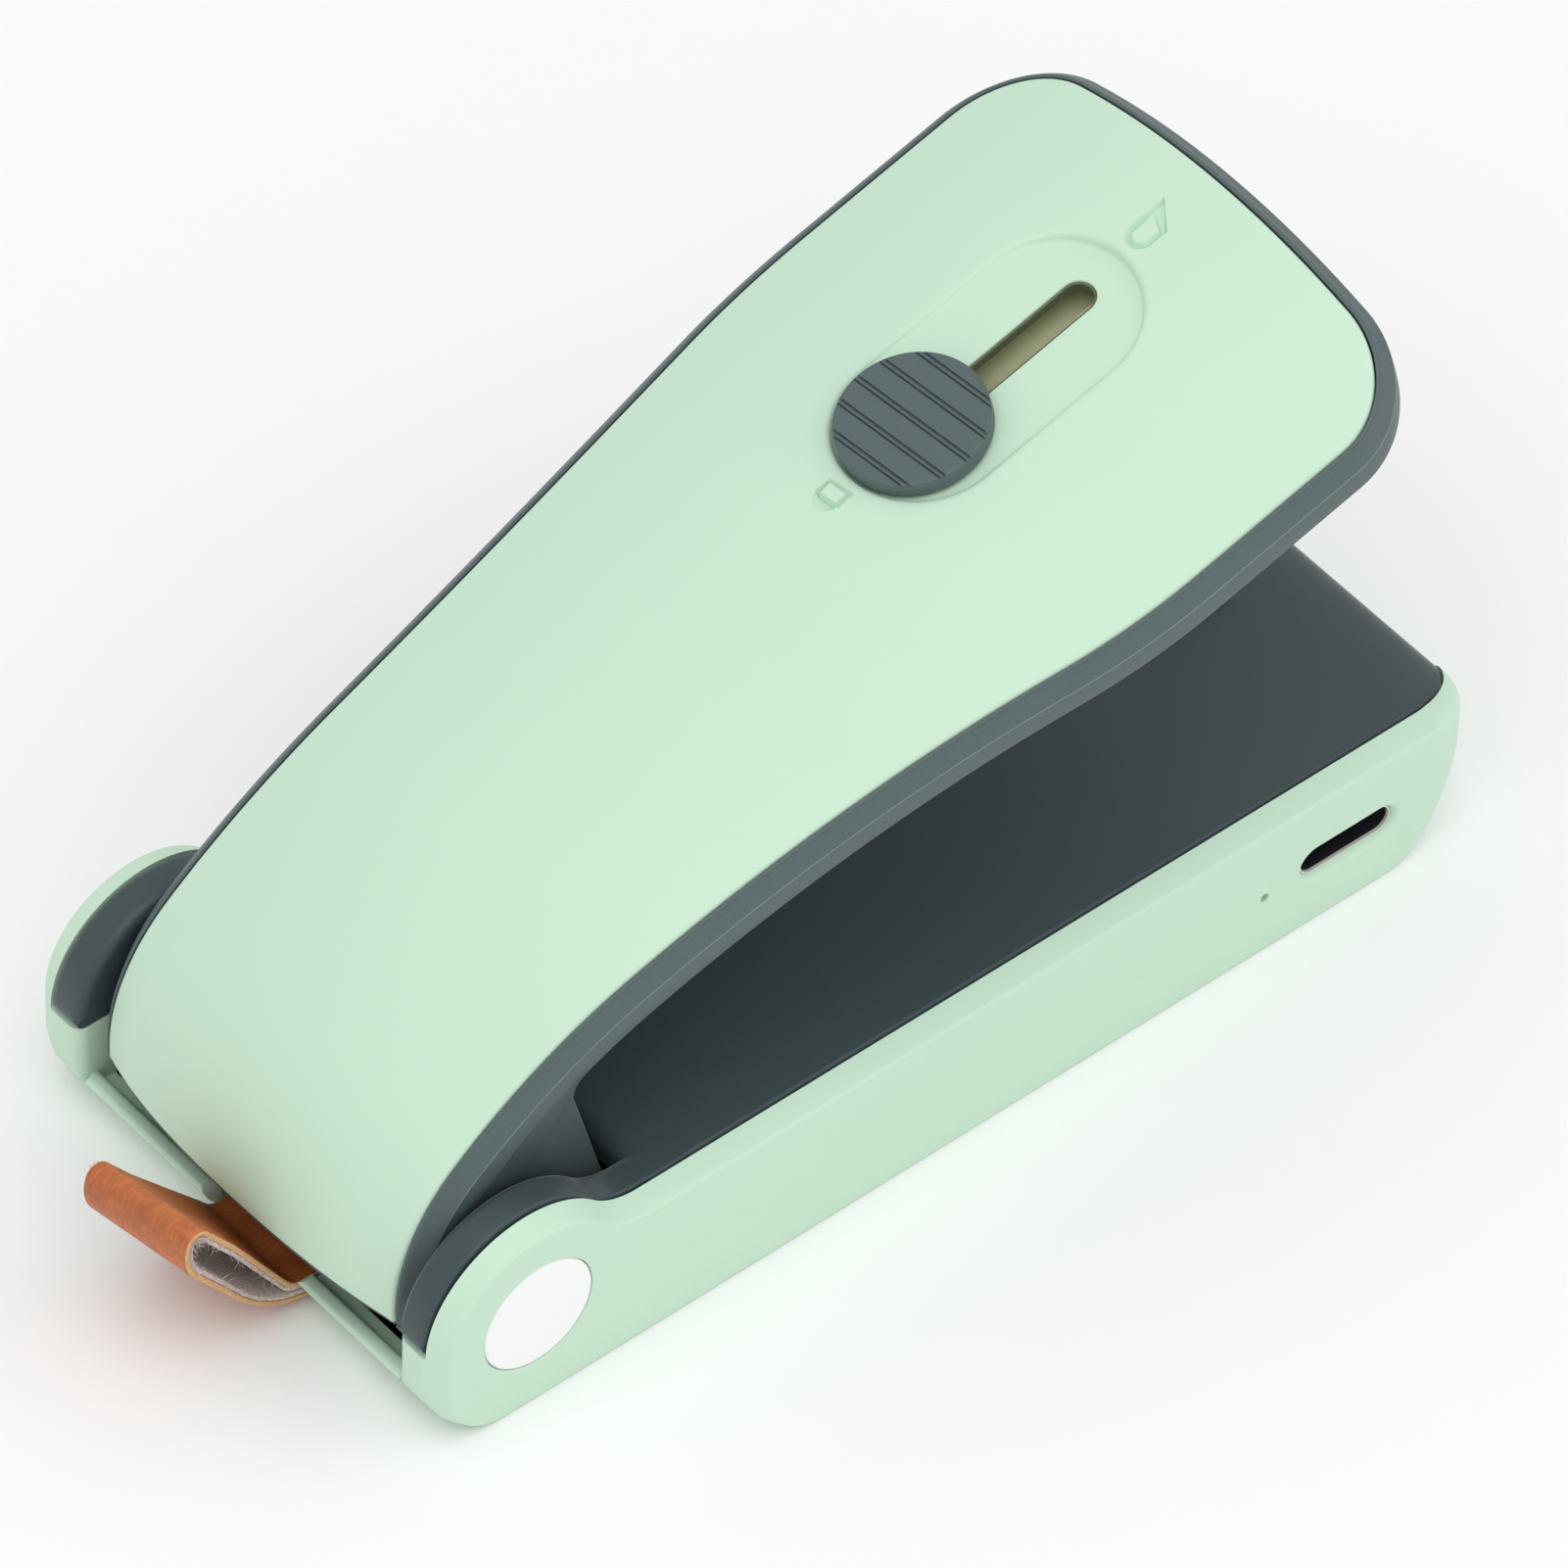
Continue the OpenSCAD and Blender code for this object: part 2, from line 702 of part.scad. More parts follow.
module arm_skin() {
    color(MINT) arm_pose() difference() {
        union() {
            skin_sheet();
            for (p = arm_screw_uy) skin_post(p);
        }
        // recess and slot of the slider
        translate([0, 0, recess_floor]) linear_extrude(10)
            run_outline(recess_from, recess_end, recess_half_w);
        translate([0, 0, recess_floor - 5]) linear_extrude(15)
            run_outline(slot_from, slot_to, slot_w / 2);
        for (p = arm_screw_uy) translate([p[0], p[1], tray_low]) cylinder(h = arm_screw_l + 0.4, r = screw_r);
    }
}

// Rows of the skin from its rear edge to its nose: where the row is on the crest, and its half width.
// The rear edge is arched, so the rows over the hinge depend on the place across the arm.
function skin_rows() = concat(
    [for (i = [0:9]) [0, i / 10]],
    [for (i = [0:7]) [1, i / 8]],
    [for (i = [0:13]) [2, i / 14]],
    [for (i = [0:3]) [3, i / 4]],
    [for (i = [0:8]) [4, i / 8]]
);

// Point of the skin in a row, at a share of the half width and a depth under the outside
function skin_point(row, share, depth) =
    let (
        turn = long_a + mid_a,
        rear = skin_end_a - rear_arch_a * (1 - share * share),
        f = row[1],
        nose_u = arm_front - nose_corner_r,
        a = row[0] == 0 ? rear + (turn - rear) * f
            : row[0] == 1 ? turn - mid_a * f
            : row[0] == 2 ? long_a * (1 - f) : 0,
        c = row[0] == 0 ? back_c + back_r * back_dir(a)
            : row[0] == 1 ? mid_c + mid_r * back_dir(a)
            : row[0] == 2 ? long_c + long_r * back_dir(a)
            : row[0] == 3 ? [straight_u + (nose_u - straight_u) * f, crest_h]
            : [nose_u + nose_corner_r * sin(90 * f), crest_h],
        w = row[0] == 4 ? front_half_w - nose_corner_r * (1 - cos(90 * f)) : edge_half_w(c, a),
        q = c - (sag(w * share) + depth) * back_dir(a)
    )
    [q[0], w * share, q[1]];

// The skin's sheet, as a grid of triangles outside and inside
module skin_sheet() {
    rows = skin_rows();
    m = len(rows);
    n = 2 * skin_columns + 1;
    outside = [for (r = rows, j = [0:n - 1]) skin_point(r, j / skin_columns - 1, 0)];
    inside = [for (r = rows, j = [0:n - 1]) skin_point(r, j / skin_columns - 1, skin_t)];
    k = m * n;
    sheets = [for (i = [0:m - 2], j = [0:n - 2])
        let (p = i * n + j, q = p + 1, r = q + n, t = p + n)
        each [[p, q, r], [p, r, t], [k + p, k + r, k + q], [k + p, k + t, k + r]]];
    sides = [for (i = [0:m - 2]) let (p = i * n, q = p + n, r = p + n - 1, t = q + n - 1)
        each [[p, q, k + q], [p, k + q, k + p], [r, k + t, t], [r, k + r, k + t]]];
    ends = [for (j = [0:n - 2]) let (p = j, q = j + 1, r = (m - 1) * n + j, t = r + 1)
        each [[p, k + q, q], [p, k + p, k + q], [r, t, k + t], [r, k + t, k + r]]];
    polyhedron(concat(outside, inside), concat(sheets, sides, ends));
}

// An outline with round ends along the arm
module run_outline(u0, u1, r) {
    translate([u0, 0]) circle(r);
    translate([u1, 0]) circle(r);
    translate([u0, -r]) square([u1 - u0, 2 * r]);
}

// Post under the skin for a screw
module skin_post(p) {
    crest = p[0] > straight_u ? crest_h : crest_h - pow(straight_u - p[0], 2) / (2 * long_r);
    top = crest - sag(abs(p[1]) + 2.2) - 0.6;
    translate([p[0], p[1], tray_top + fit]) cylinder(h = top - tray_top, r = 2.2);
}

// Half width of the skin at a place along the arm
function skin_half_w(u) =
    let (
        meet = flare_out_c + (flare_in_c - flare_out_c) * (1 - flare_share),
        in_r = flare_sum * flare_share,
        out_r = flare_sum * (1 - flare_share)
    )
    u < flare_from ? rear_half_w
    : u < meet[0] ? flare_in_c[1] - sqrt(in_r * in_r - pow(u - flare_in_c[0], 2))
    : u < flare_to ? flare_out_c[1] + sqrt(out_r * out_r - pow(u - flare_out_c[0], 2))
    : front_half_w;

// Slope of that half width
function skin_flare(u) = (skin_half_w(u + 0.5) - skin_half_w(u - 0.5));

// Half width of the skin beside a place on the crest
function edge_half_w(c, a) =
    let (w0 = skin_half_w(c[0] + sin(a) * sag(rear_half_w)))
    skin_half_w(c[0] + sin(a) * sag(w0));

// A station on the skin's edge: point, outward direction and downward direction, at positive Y
function edge_at(c, a) =
    let (
        w = edge_half_w(c, a),
        e = c - sag(w) * back_dir(a),
        f = skin_flare(e[0]),
        out = unit([-f * cos(a), 1, -f * sin(a)])
    )
    [[e[0], w, e[1]], out, [sin(a), 0, -cos(a)]];

// Stations along one side, from the rear to the nose, then round the corner to the front
corner_steps = 16;
function side_stations() =
    let (turn = long_a + mid_a)
    concat(
        [for (i = [0:14]) let (a = skin_end_a + (turn - skin_end_a) * i / 15)
            edge_at(back_c + back_r * back_dir(a), a)],
        [for (i = [0:9]) let (a = turn - mid_a * i / 10) edge_at(mid_c + mid_r * back_dir(a), a)],
        [for (i = [0:13]) let (a = long_a * (1 - i / 14)) edge_at(long_c + long_r * back_dir(a), a)],
        [for (i = [0:6]) edge_at([straight_u + (arm_front - nose_corner_r - straight_u) * i / 6, crest_h], 0)],
        [for (i = [1:corner_steps]) let (
                b = 90 - 90 * i / corner_steps,
                y = front_half_w - nose_corner_r + nose_corner_r * sin(b)
            )
            [[arm_front - nose_corner_r + nose_corner_r * cos(b), y, crest_h - sag(y)],
             [cos(b), sin(b), 0], [0, 0, -1]]],
        [for (i = [1:6]) let (y = (front_half_w - nose_corner_r) * (1 - i / 6))
            [[arm_front, y, crest_h - sag(y)], [1, 0, 0], [0, 0, -1]]]
    );

// Band round the skin's edge, with a sloped shoulder and a foot under the skin
module arm_bezel() {
    inner = -0.6;
    under = skin_t + seam;
    lip = 0.15;
    section = [
        [lip, 0.1], [bezel_w * 0.45, bezel_slope_h * 0.25], [bezel_w * 0.85, bezel_slope_h * 0.7],
        [bezel_w, bezel_slope_h], [bezel_w, bezel_h], [inner, bezel_h], [inner, under], [lip, under]
    ];
    near = side_stations();
    far = [for (i = [len(near) - 2:-1:0]) [for (v = near[i]) [v[0], -v[1], v[2]]]];
    rings = [for (s = concat(near, far)) [for (q = section) s[0] + q[0] * s[1] + q[1] * s[2]]];
    color(DARK) arm_pose() ring_tube(rings);
}

module arm_shell() {
    leg_depth = skin_t + sag(rear_half_w) + seam;
    cheek_depth = sag(rear_half_w) + bezel_h + seam;
    color(DARK) arm_pose() difference() {
        union() {
            // tray under the skin
            in_arm_plan(-tray_inset) along_y(-big, big) polygon([
                [knuckle_u - knuckle_wall, tray_low - 1.2], [tray_bend_u, tray_low], [arm_front, tray_low],
                [arm_front, tray_top], [tray_bend_u, tray_top], [knuckle_u - knuckle_wall, tray_top - 1]
            ]);
            // wall behind the nose
            intersection() {
                crown_run(arm_front - tray_inset - nose_wall_t, arm_front - tray_inset, skin_t + seam,
                    crest_h - tray_top + 1, nose_wall_half_w);
                box([0, -nose_wall_half_w, tray_top - eps], [big, nose_wall_half_w, big]);
            }
            both_sides() along_y(leg_out - leg_t, leg_out) knuckle_outline(leg_depth);
            both_sides() along_y(leg_out - eps, cheek_out) intersection() {
                knuckle_outline(cheek_depth);
                translate(mid_c) circle(mid_r - cheek_depth);
            }
            box([knuckle_u - knuckle_wall, -leg_out, knuckle_low], [knuckle_u, leg_out, tray_top - 1]);
            along_y(-leg_out, leg_out) knuckle_back(leg_depth);
            both_sides() bar_y(0, 0, bush_r + 1.5, leg_out - bush_l, leg_out);
        }
        bar_y(0, 0, bush_r + fit, -big, big);
        // slit for the blade
        box([arm_front - 5, -blade_w / 2 - running, blade_low - running],
            [arm_front + 5, blade_w / 2 + running, blade_top + running]);
        for (p = arm_screw_uy) translate([p[0], p[1], tray_low - eps]) {
            cylinder(h = arm_screw_head_h + eps, r = screw_head_r + fit);
            cylinder(h = 5, r = screw_r + fit);
        }
    }
}

// Side outline of the knuckle between the ears
module knuckle_outline(depth) {
    intersection() {
        union() {
            translate(back_c) circle(back_r - depth);
            translate([back_c[0], knuckle_low]) square([knuckle_u - back_c[0], tray_top - 1 - knuckle_low]);
        }
        union() {
            translate([-30, knuckle_low]) square([30 + knuckle_u, 40]);
            circle(6.5);
        }
        translate([-30, -30]) square([30 + knuckle_u, 60]);
    }
}

// Curved rear wall of the knuckle, behind the skin's rear edge
module knuckle_back(depth) {
    intersection() {
        translate(back_c) difference() {
            circle(back_r - depth);
            circle(back_r - depth - 1.3);
        }
        polygon([
            back_c, back_c + 40 * back_dir(skin_end_a + 4), back_c + 40 * back_dir(skin_end_a - 15),
            back_c + 40 * back_dir(skin_end_a - 36)
        ]);
    }
}

module hinge_bushes() {
    color("goldenrod") arm_pose() both_sides() difference() {
        bar_y(0, 0, bush_r, leg_out - bush_l, leg_out + 0.6);
        bar_y(0, 0, pin_r + fit, 0, big);
    }
}

module pad_holder() {
    x0 = head_x - head_l / 2 - 0.5;
    x1 = head_x + head_l / 2 + 0.5;
    color(DARK) from_closed() along_y(-head_w / 2 - 0.8, head_w / 2 + 0.8)
        polygon([[x0, pad_top], [x1, pad_top], [x1, floor_z_closed(x1)], [x0, floor_z_closed(x0)]]);
}

module press_pad() {
    color("gainsboro") from_closed() box([head_x - head_l / 2 + 0.5, -head_w / 2 + 0.2, pad_low],
        [head_x + head_l / 2 - 0.5, head_w / 2 - 0.2, pad_top]);
}

module arm_screws() {
    color(STEEL) arm_pose() for (p = arm_screw_uy) translate([p[0], p[1], tray_low]) {
        cylinder(h = arm_screw_head_h, r = screw_head_r);
        cylinder(h = arm_screw_l, r = screw_r - fit / 2);
    }
}

// Cutter pieces

// Channel under the slot, closed by a lid that the shuttle's tongue reaches through
module cutter_guide() {
    u0 = knob_u - shuttle_l / 2 - 1.5;
    u1 = arm_front - 3.4;
    tongue_end = knob_u + slide_travel + stem_l / 2 + running;
    color("tan") arm_pose() difference() {
        union() {
            box([u0, -guide_half_w, tray_top], [u1, guide_half_w, tray_top + guide_t]);
            both_sides() box([u0, rail_in, tray_top], [u1, guide_half_w, guide_top]);
            box([u0, -guide_half_w, lid_low], [u1, guide_half_w, guide_top]);
        }
        box([u0 - 1, -stem_t / 2 - running, lid_low - 1], [tongue_end, stem_t / 2 + running, guide_top + 1]);
        // detent notches
        for (u = [knob_u, knob_u + slide_travel]) translate([u, rail_in, tray_top + guide_t + eps])
            cylinder(h = lid_low - tray_top - guide_t - 2 * eps, r = 0.9);
    }
}

module slider_knob() {
    low = recess_floor + 0.15;
    top = low + knob_t;
    pitch = 2 * knob_r / (rib_pairs + 1);
    color(DARK) arm_pose() difference() {
        union() {
            translate([knob_u, 0, low]) cylinder(h = knob_t - 0.4, r = knob_r);
            translate([knob_u, 0, top - 0.4]) cylinder(h = 0.4, r1 = knob_r, r2 = knob_r - 0.4);
        }
        for (i = [0:rib_pairs - 1], s = [-1, 1])
            translate([knob_u + (i - (rib_pairs - 1) / 2) * pitch + s * 0.3 - 0.12, -knob_r, top - 0.25])
                cube([0.24, 2 * knob_r, 1]);
        box([knob_u - stem_l / 2 - fit, -slot_w / 2 + running - fit, low - 1],
            [knob_u + stem_l / 2 + fit, slot_w / 2 - running + fit, low + 0.9]);
    }
}

// Carrier of the blade: body in the channel, thin tongue through the lid and stem in the skin's slot
module cutter_shuttle() {
    stem_low = crest_h - skin_t + 0.1;
    color("dimgray") arm_pose() union() {
        box([knob_u - shuttle_l / 2, -shuttle_half_w, blade_top],
            [knob_u + shuttle_l / 2, shuttle_half_w, shuttle_top]);
        box([knob_u - stem_l / 2, -stem_t / 2, shuttle_top - eps], [knob_u + stem_l / 2, stem_t / 2, stem_low + eps]);
        box([knob_u - stem_l / 2, -slot_w / 2 + running, stem_low],
            [knob_u + stem_l / 2, slot_w / 2 - running, recess_floor + 1]);
        translate([knob_u + 4.2, 0, blade_low - rivet_out]) cylinder(h = blade_t + rivet_out + eps, r = 1);
    }
}

module cutter_blade() {
    color("white") arm_pose() difference() {
        translate([0, 0, blade_low]) linear_extrude(blade_t) polygon([
            [blade_back, -blade_w / 2], [blade_front - blade_w, -blade_w / 2],
            [blade_front, blade_w / 2], [blade_back, blade_w / 2]
        ]);
        translate([knob_u + 4.2, 0, blade_low - 1]) cylinder(h = 3, r = 1 + fit);
    }
}

module detent_spring() {
    low = blade_top + 0.15;
    high = shuttle_top - 0.1;
    color(STEEL) arm_pose() {
        box([knob_u - 4, shuttle_half_w, low], [knob_u + 4, shuttle_half_w + 0.25, high]);
        intersection() {
            translate([knob_u, shuttle_half_w, low]) cylinder(h = high - low, r = 0.65);
            box([0, shuttle_half_w, 0], [big, big, big]);
        }
    }
}

base_shell();
base_cover();
hinge_caps();
hinge_pin();
torsion_spring();
base_screws();
battery();
circuit_board();
usb_socket();
status_led();
battery_leads();
heater_leads();
heater_block();
heating_element();
heater_film();
press_switch();
switch_button();
leather_tab();
tab_clamp();
arm_skin();
arm_bezel();
arm_shell();
hinge_bushes();
pad_holder();
press_pad();
arm_screws();
cutter_guide();
slider_knob();
cutter_shuttle();
cutter_blade();
detent_spring();
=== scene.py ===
"""Looks of a handheld bag sealer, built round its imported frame: mouldings, leather loop, finishes and stage."""

import json
import math

import bmesh
import bpy
import numpy as np
from mathutils import Matrix, Vector

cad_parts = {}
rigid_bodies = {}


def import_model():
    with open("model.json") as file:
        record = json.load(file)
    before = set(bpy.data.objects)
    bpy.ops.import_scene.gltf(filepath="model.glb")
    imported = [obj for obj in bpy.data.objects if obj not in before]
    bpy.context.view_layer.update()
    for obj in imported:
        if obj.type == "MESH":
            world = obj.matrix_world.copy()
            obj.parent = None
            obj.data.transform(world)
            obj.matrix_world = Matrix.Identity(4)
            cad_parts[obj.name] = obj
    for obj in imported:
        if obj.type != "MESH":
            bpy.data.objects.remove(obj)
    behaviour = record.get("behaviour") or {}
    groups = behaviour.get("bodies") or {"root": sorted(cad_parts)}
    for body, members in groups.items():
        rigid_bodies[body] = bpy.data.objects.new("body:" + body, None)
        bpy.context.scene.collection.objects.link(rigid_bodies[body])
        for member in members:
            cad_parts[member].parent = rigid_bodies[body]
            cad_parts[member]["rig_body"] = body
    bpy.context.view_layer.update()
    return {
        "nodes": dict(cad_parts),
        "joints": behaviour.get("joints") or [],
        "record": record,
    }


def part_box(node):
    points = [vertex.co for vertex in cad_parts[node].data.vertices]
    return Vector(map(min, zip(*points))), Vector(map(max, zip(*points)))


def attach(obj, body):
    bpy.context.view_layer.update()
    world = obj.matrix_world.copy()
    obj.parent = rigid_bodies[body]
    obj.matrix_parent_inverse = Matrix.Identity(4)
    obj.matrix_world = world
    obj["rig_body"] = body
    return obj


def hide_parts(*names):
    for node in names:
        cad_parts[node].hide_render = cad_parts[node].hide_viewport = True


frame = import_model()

bl_info = {
    "name": "Bag Sealer",
    "version": (1, 0, 0),
    "blender": (4, 5, 0),
    "location": "View3D > Sidebar > Bag Sealer",
    "description": "Builds the visible pieces of a handheld bag sealer round its frame",
    "category": "Add Mesh",
}

MM = 0.001
X, Y, Z = range(3)
# The near side and the far side, as signs of Y
SIDES = (-1, 1)
# Reach of cutters beyond every piece
BIG = 100 * MM
# Edges sharper than this stay sharp
SMOOTH_ANGLE = math.radians(32)
BEZEL_SMOOTH_ANGLE = math.radians(24)
# A crowned edge: its slope, its bow, and the part of its width that ends in a plain round
CROWN_SLOPE = 0.36
CROWN_BOW = 0.1
EDGE_SHARE = 0.1
# Rounding of the rear wall's top, and how far the light lies under the socket's middle
WALL_ROUND = 0.75 * MM
LIGHT_DROP = 0.3 * MM
FIBRE_SEED = 11
# Side of the photograph in pixels, and width of the camera's sensor in millimetres
PHOTO_SIDE = 1601
SENSOR = 36.0


# Sizes and colours


def length(name, default, description):
    """A length in millimetres, kept in metres."""
    return bpy.props.FloatProperty(
        name=name, default=default * MM, description=description, unit="LENGTH", precision=5)


def angle(name, degrees, description):
    """An angle in degrees, kept in radians."""
    return bpy.props.FloatProperty(
        name=name, default=math.radians(degrees), description=description, subtype="ANGLE")


def colour(name, red, green, blue, description):
    """A display colour of three values up to 255, kept as linear light."""
    return bpy.props.FloatVectorProperty(
        name=name, default=display(red, green, blue), description=description, subtype="COLOR", size=3, min=0, max=1)


def to_linear(value):
    """Linear light of a display value from 0 to 1."""
    return value / 12.92 if value <= 0.04045 else ((value + 0.055) / 1.055) ** 2.4


def display(red, green, blue):
    """Linear colour of a display colour of three values up to 255."""
    return tuple(to_linear(v / 255) for v in (red, green, blue))


class ArmSizes(bpy.types.PropertyGroup):
    """The arm's crowned skin, its bezel and its slide recess."""

    crest_h: length("Crest height", 23.6, "Straight crest above the hinge axis")
    front_u: length("Front", 97, "Front end of the skin from the hinge axis")
    straight_u: length("Straight from", 70.4, "Where the straight crest begins")
    long_r: length("Long arc", 450, "Radius of the flat arc behind the straight crest")
    long_a: angle("Long turn", 6.5, "Turn of the flat arc")
    mid_r: length("Middle arc", 64, "Radius of the middle arc")
    mid_a: angle("Middle turn", 18.6, "Turn of the middle arc")
    back_r: length("Rear arc", 19.5, "Radius of the arc over the hinge")
    back_a: angle("Rear turn", 54, "Turn of the arc over the hinge")
    rear_arch_a: angle("Rear arch", 7.5, "How much earlier the skin ends in the middle of its rear edge")
    crown_r: length("Crown", 53, "Radius of the crown across the arm")
    skin_t: length("Skin", 1.8, "Thickness of the skin")
    rear_half_w: length("Rear half width", 17.5, "Half width of the skin at the hinge")
    front_half_w: length("Front half width", 23.3, "Half width of the skin at the front")
    flare_from: length("Flare from", 3, "Where the flare starts")
    flare_to: length("Flare to", 73.5, "Where the flare ends")
    flare_share: bpy.props.FloatProperty(
        name="Flare share", default=0.815, description="Part of the flare that curves outwards")
    nose_r: length("Nose corner", 8, "Radius of the front corners")
    nose_bow_r: length("Nose bow", 290, "Radius of the slight bow of the front edge")
    edge_r: length("Edge roll", 0.3, "Radius of the skin's outer edge")
    bezel_w: length("Bezel width", 1.5, "Width of the bezel outside the skin")
    bezel_slope_h: length("Bezel slope", 1.5, "Height of the bezel's sloped shoulder")
    bezel_h: length("Bezel height", 3.6, "Whole height of the bezel")
    tray_top: length("Tray top", 15.2, "Top of the arm's tray above the hinge axis")
    tray_inset: length("Tray inset", 0.75, "How far the tray's edge lies inside the skin's")
    recess_d: length("Recess depth", 0.9, "Depth of the slide recess under the crest")
    recess_half_w: length("Recess half width", 7.3, "Half width of the slide recess")
    slot_w: length("Slot width", 3.1, "Width of the slide slot")
    recess_ahead: length("Recess ahead", 0.95, "How far ahead of the knob the recess's rear end is centred")
    recess_more: length("Recess more", 0.05, "How far the recess's front end is centred beyond the travel")
    slot_rear: length("Slot rear", 2.35, "How far behind the knob's middle the slot's rear end is centred")
    slot_more: length("Slot more", 2.75, "How far the slot's front end is centred beyond the travel")
    mark_d: length("Mark depth", 0.45, "Depth of the two small marks")
    mark_slope: length("Mark slope", 0.3, "Width of the marks' sloped walls")


class KnobSizes(bpy.types.PropertyGroup):
    """The slider's knob."""

    place_u: length("Place", 65.9, "Middle of the knob from the hinge axis")
    radius: length("Radius", 6.25, "Radius of the knob")
    thickness: length("Thickness", 1.75, "Thickness of the knob")
    rim: length("Rim", 0.28, "Rounding of the upper rim")
    groove_w: length("Groove width", 0.22, "Width of one groove")
    groove_d: length("Groove depth", 0.22, "Depth of one groove")
    groove_gap: length("Groove gap", 0.4, "Distance between the two grooves of a pair")
    groove_pitch: length("Groove pitch", 2.38, "Distance between two pairs of grooves")
    groove_turn: angle("Groove turn", 4.4, "How far the grooves are turned from square to the slide")
    pairs: bpy.props.IntProperty(name="Groove pairs", default=5, description="Number of double grooves")


class BaseSizes(bpy.types.PropertyGroup):
    """The base's shell and its dark deck."""

    half_w: length("Half width", 25, "Half width of the base")
    front_x: length("Front", 52.4, "Front face of the base")
    deck_z: length("Deck", 14.8, "Top of the side cheeks")
    prow_r: length("Prow", 10, "Radius of the prow, seen from the side")
    rear_corner_r: length("Rear corner", 6.5, "Radius of the rear bottom corner, seen from the side")
    saddle_r: length("Saddle", 6, "Radius of the dip between an ear and the deck")
    cheek_t: length("Cheek", 2, "Thickness of the cheeks")
    floor_t: length("Floor", 1.8, "Thickness of the floor")
    lip_h: length("Rear wall", 4.2, "Height of the low rear wall")
    ear_w: length("Ear width", 5.35, "Width of an ear, cheek and ridge together")
    ear_r: length("Ear radius", 9.7, "Outer radius of the ears")
    side_round: length("Side crown", 2.2, "Width of the cheeks' crowned upper edges")
    front_corner_l: length("Front corner length", 5, "Length of the front corners, seen from above")
    front_corner_w: length("Front corner width", 5, "Width of the front corners, seen from above")
    foot_round: length("Foot rounding", 0.5, "Rounding of the lower edges")
    seam: length("Seam", 0.22, "Seam between mouldings")
    deck_gap: length("Deck gap", 0.32, "Groove between the deck and the cheeks")
    deck_drop: length("Deck drop", 0.25, "How far the deck lies under the cheeks' top")
    deck_t: length("Deck thickness", 1.8, "Thickness of the deck")
    roll_l: length("Roll length", 7, "Length of the deck's rolled front edge")
    roll_h: length("Roll height", 2.3, "Height of the deck's rolled front edge")
    roll_power: bpy.props.FloatProperty(
        name="Roll fullness", default=2.4, description="Power of the rolled edge's line, where 2 is an ellipse")
    deck_rear_r: length("Deck rear roll", 1.3, "Rounding of the deck's rear edge")
    deck_corner_l: length("Deck corner length", 6, "Length of the deck's front corners")
    deck_corner_w: length("Deck corner width", 4.7, "Width of the deck's front corners")
    knuckle_u: length("Knuckle front", 11.6, "Front of the arm's knuckle from the hinge axis")
    knuckle_gap: length("Knuckle gap", 0.45, "Gap between the deck and the closed arm's knuckle")
    cap_r: length("Cap radius", 5.3, "Radius of the white hinge caps")
    cap_t: length("Cap thickness", 1.15, "Thickness of the white hinge caps")
    socket_x: length("Socket place", 38.35, "Middle of the charging socket")
    socket_z: length("Socket height", 6.6, "Height of the middle of the charging socket")
    socket_w: length("Socket width", 9.62, "Width of the charging cut-out")
    socket_h: length("Socket opening", 2.9, "Height of the charging cut-out")
    light_x: length("Light place", 29.5, "Place of the light")
    light_r: length("Light radius", 0.42, "Radius of the light's pin hole")


class LoopSizes(bpy.types.PropertyGroup):
    """The leather loop at the rear."""

    width: length("Width", 10.6, "Width of the loop")
    middle_y: length("Middle", -1.1, "Middle of the loop across the base")
    leather_t: length("Leather", 0.48, "Thickness of the leather")
    felt_t: length("Felt", 0.4, "Thickness of the felt lining")
    straight_l: length("Straight length", 16.2, "Straight length of the upper layer outside the wall")
    slope: angle("Slope", 53, "Slope of the loop")
    fold_r: length("Fold", 1.15, "Outer radius of the fold")
    belly_r: length("Belly", 4.65, "Outer radius of the lower layer where it runs into the fold")
    belly_turn: angle("Belly turn", 55, "How far the lower layer turns before the fold")
    bend_r: length("Bend", 14, "Outer radius of the lower layer's bend into the wall")
    level_r: length("Level bend", 2, "Radius at which the upper layer turns level under the arm")
    notch_gap: length("Notch gap", 0.25, "Gap between the loop and the notch in the wall")
    notch_r: length("Notch shoulders", 1.1, "Rounding of the wall's upper corners beside the notch")
    fibres: bpy.props.IntProperty(name="Fibres", default=420, description="Loose fibres along the felt's edges")
    skew: angle("Skew", 9, "How far the loop is pulled round towards its far side")


class Finishes(bpy.types.PropertyGroup):
    """Colours of the visible finishes."""

    mint: colour("Mint", 201, 230, 207, "Skin and shell")
    dark: colour("Dark", 82, 97, 99, "Bezel, knob and arm shell")
    deck: colour("Deck", 61, 75, 78, "Deck of the base")
    white: colour("White", 250, 250, 250, "Hinge caps")
    leather: colour("Leather", 196, 108, 54, "Leather loop")
    felt: colour("Felt", 228, 212, 204, "Lining of the loop")
    beige: colour("Beige", 206, 210, 166, "Cutter channel")
    # The sleeve's colour is the channel's beige darkened: painted shade in the slot
    sleeve_painted_shade: colour("Olive", 96, 106, 74, "Sleeve in the slot")
    shelf: colour("Shelf", 206, 186, 162, "Shelf under the slot's near edge")
    floor: colour("Floor", 251, 251, 251, "Floor")


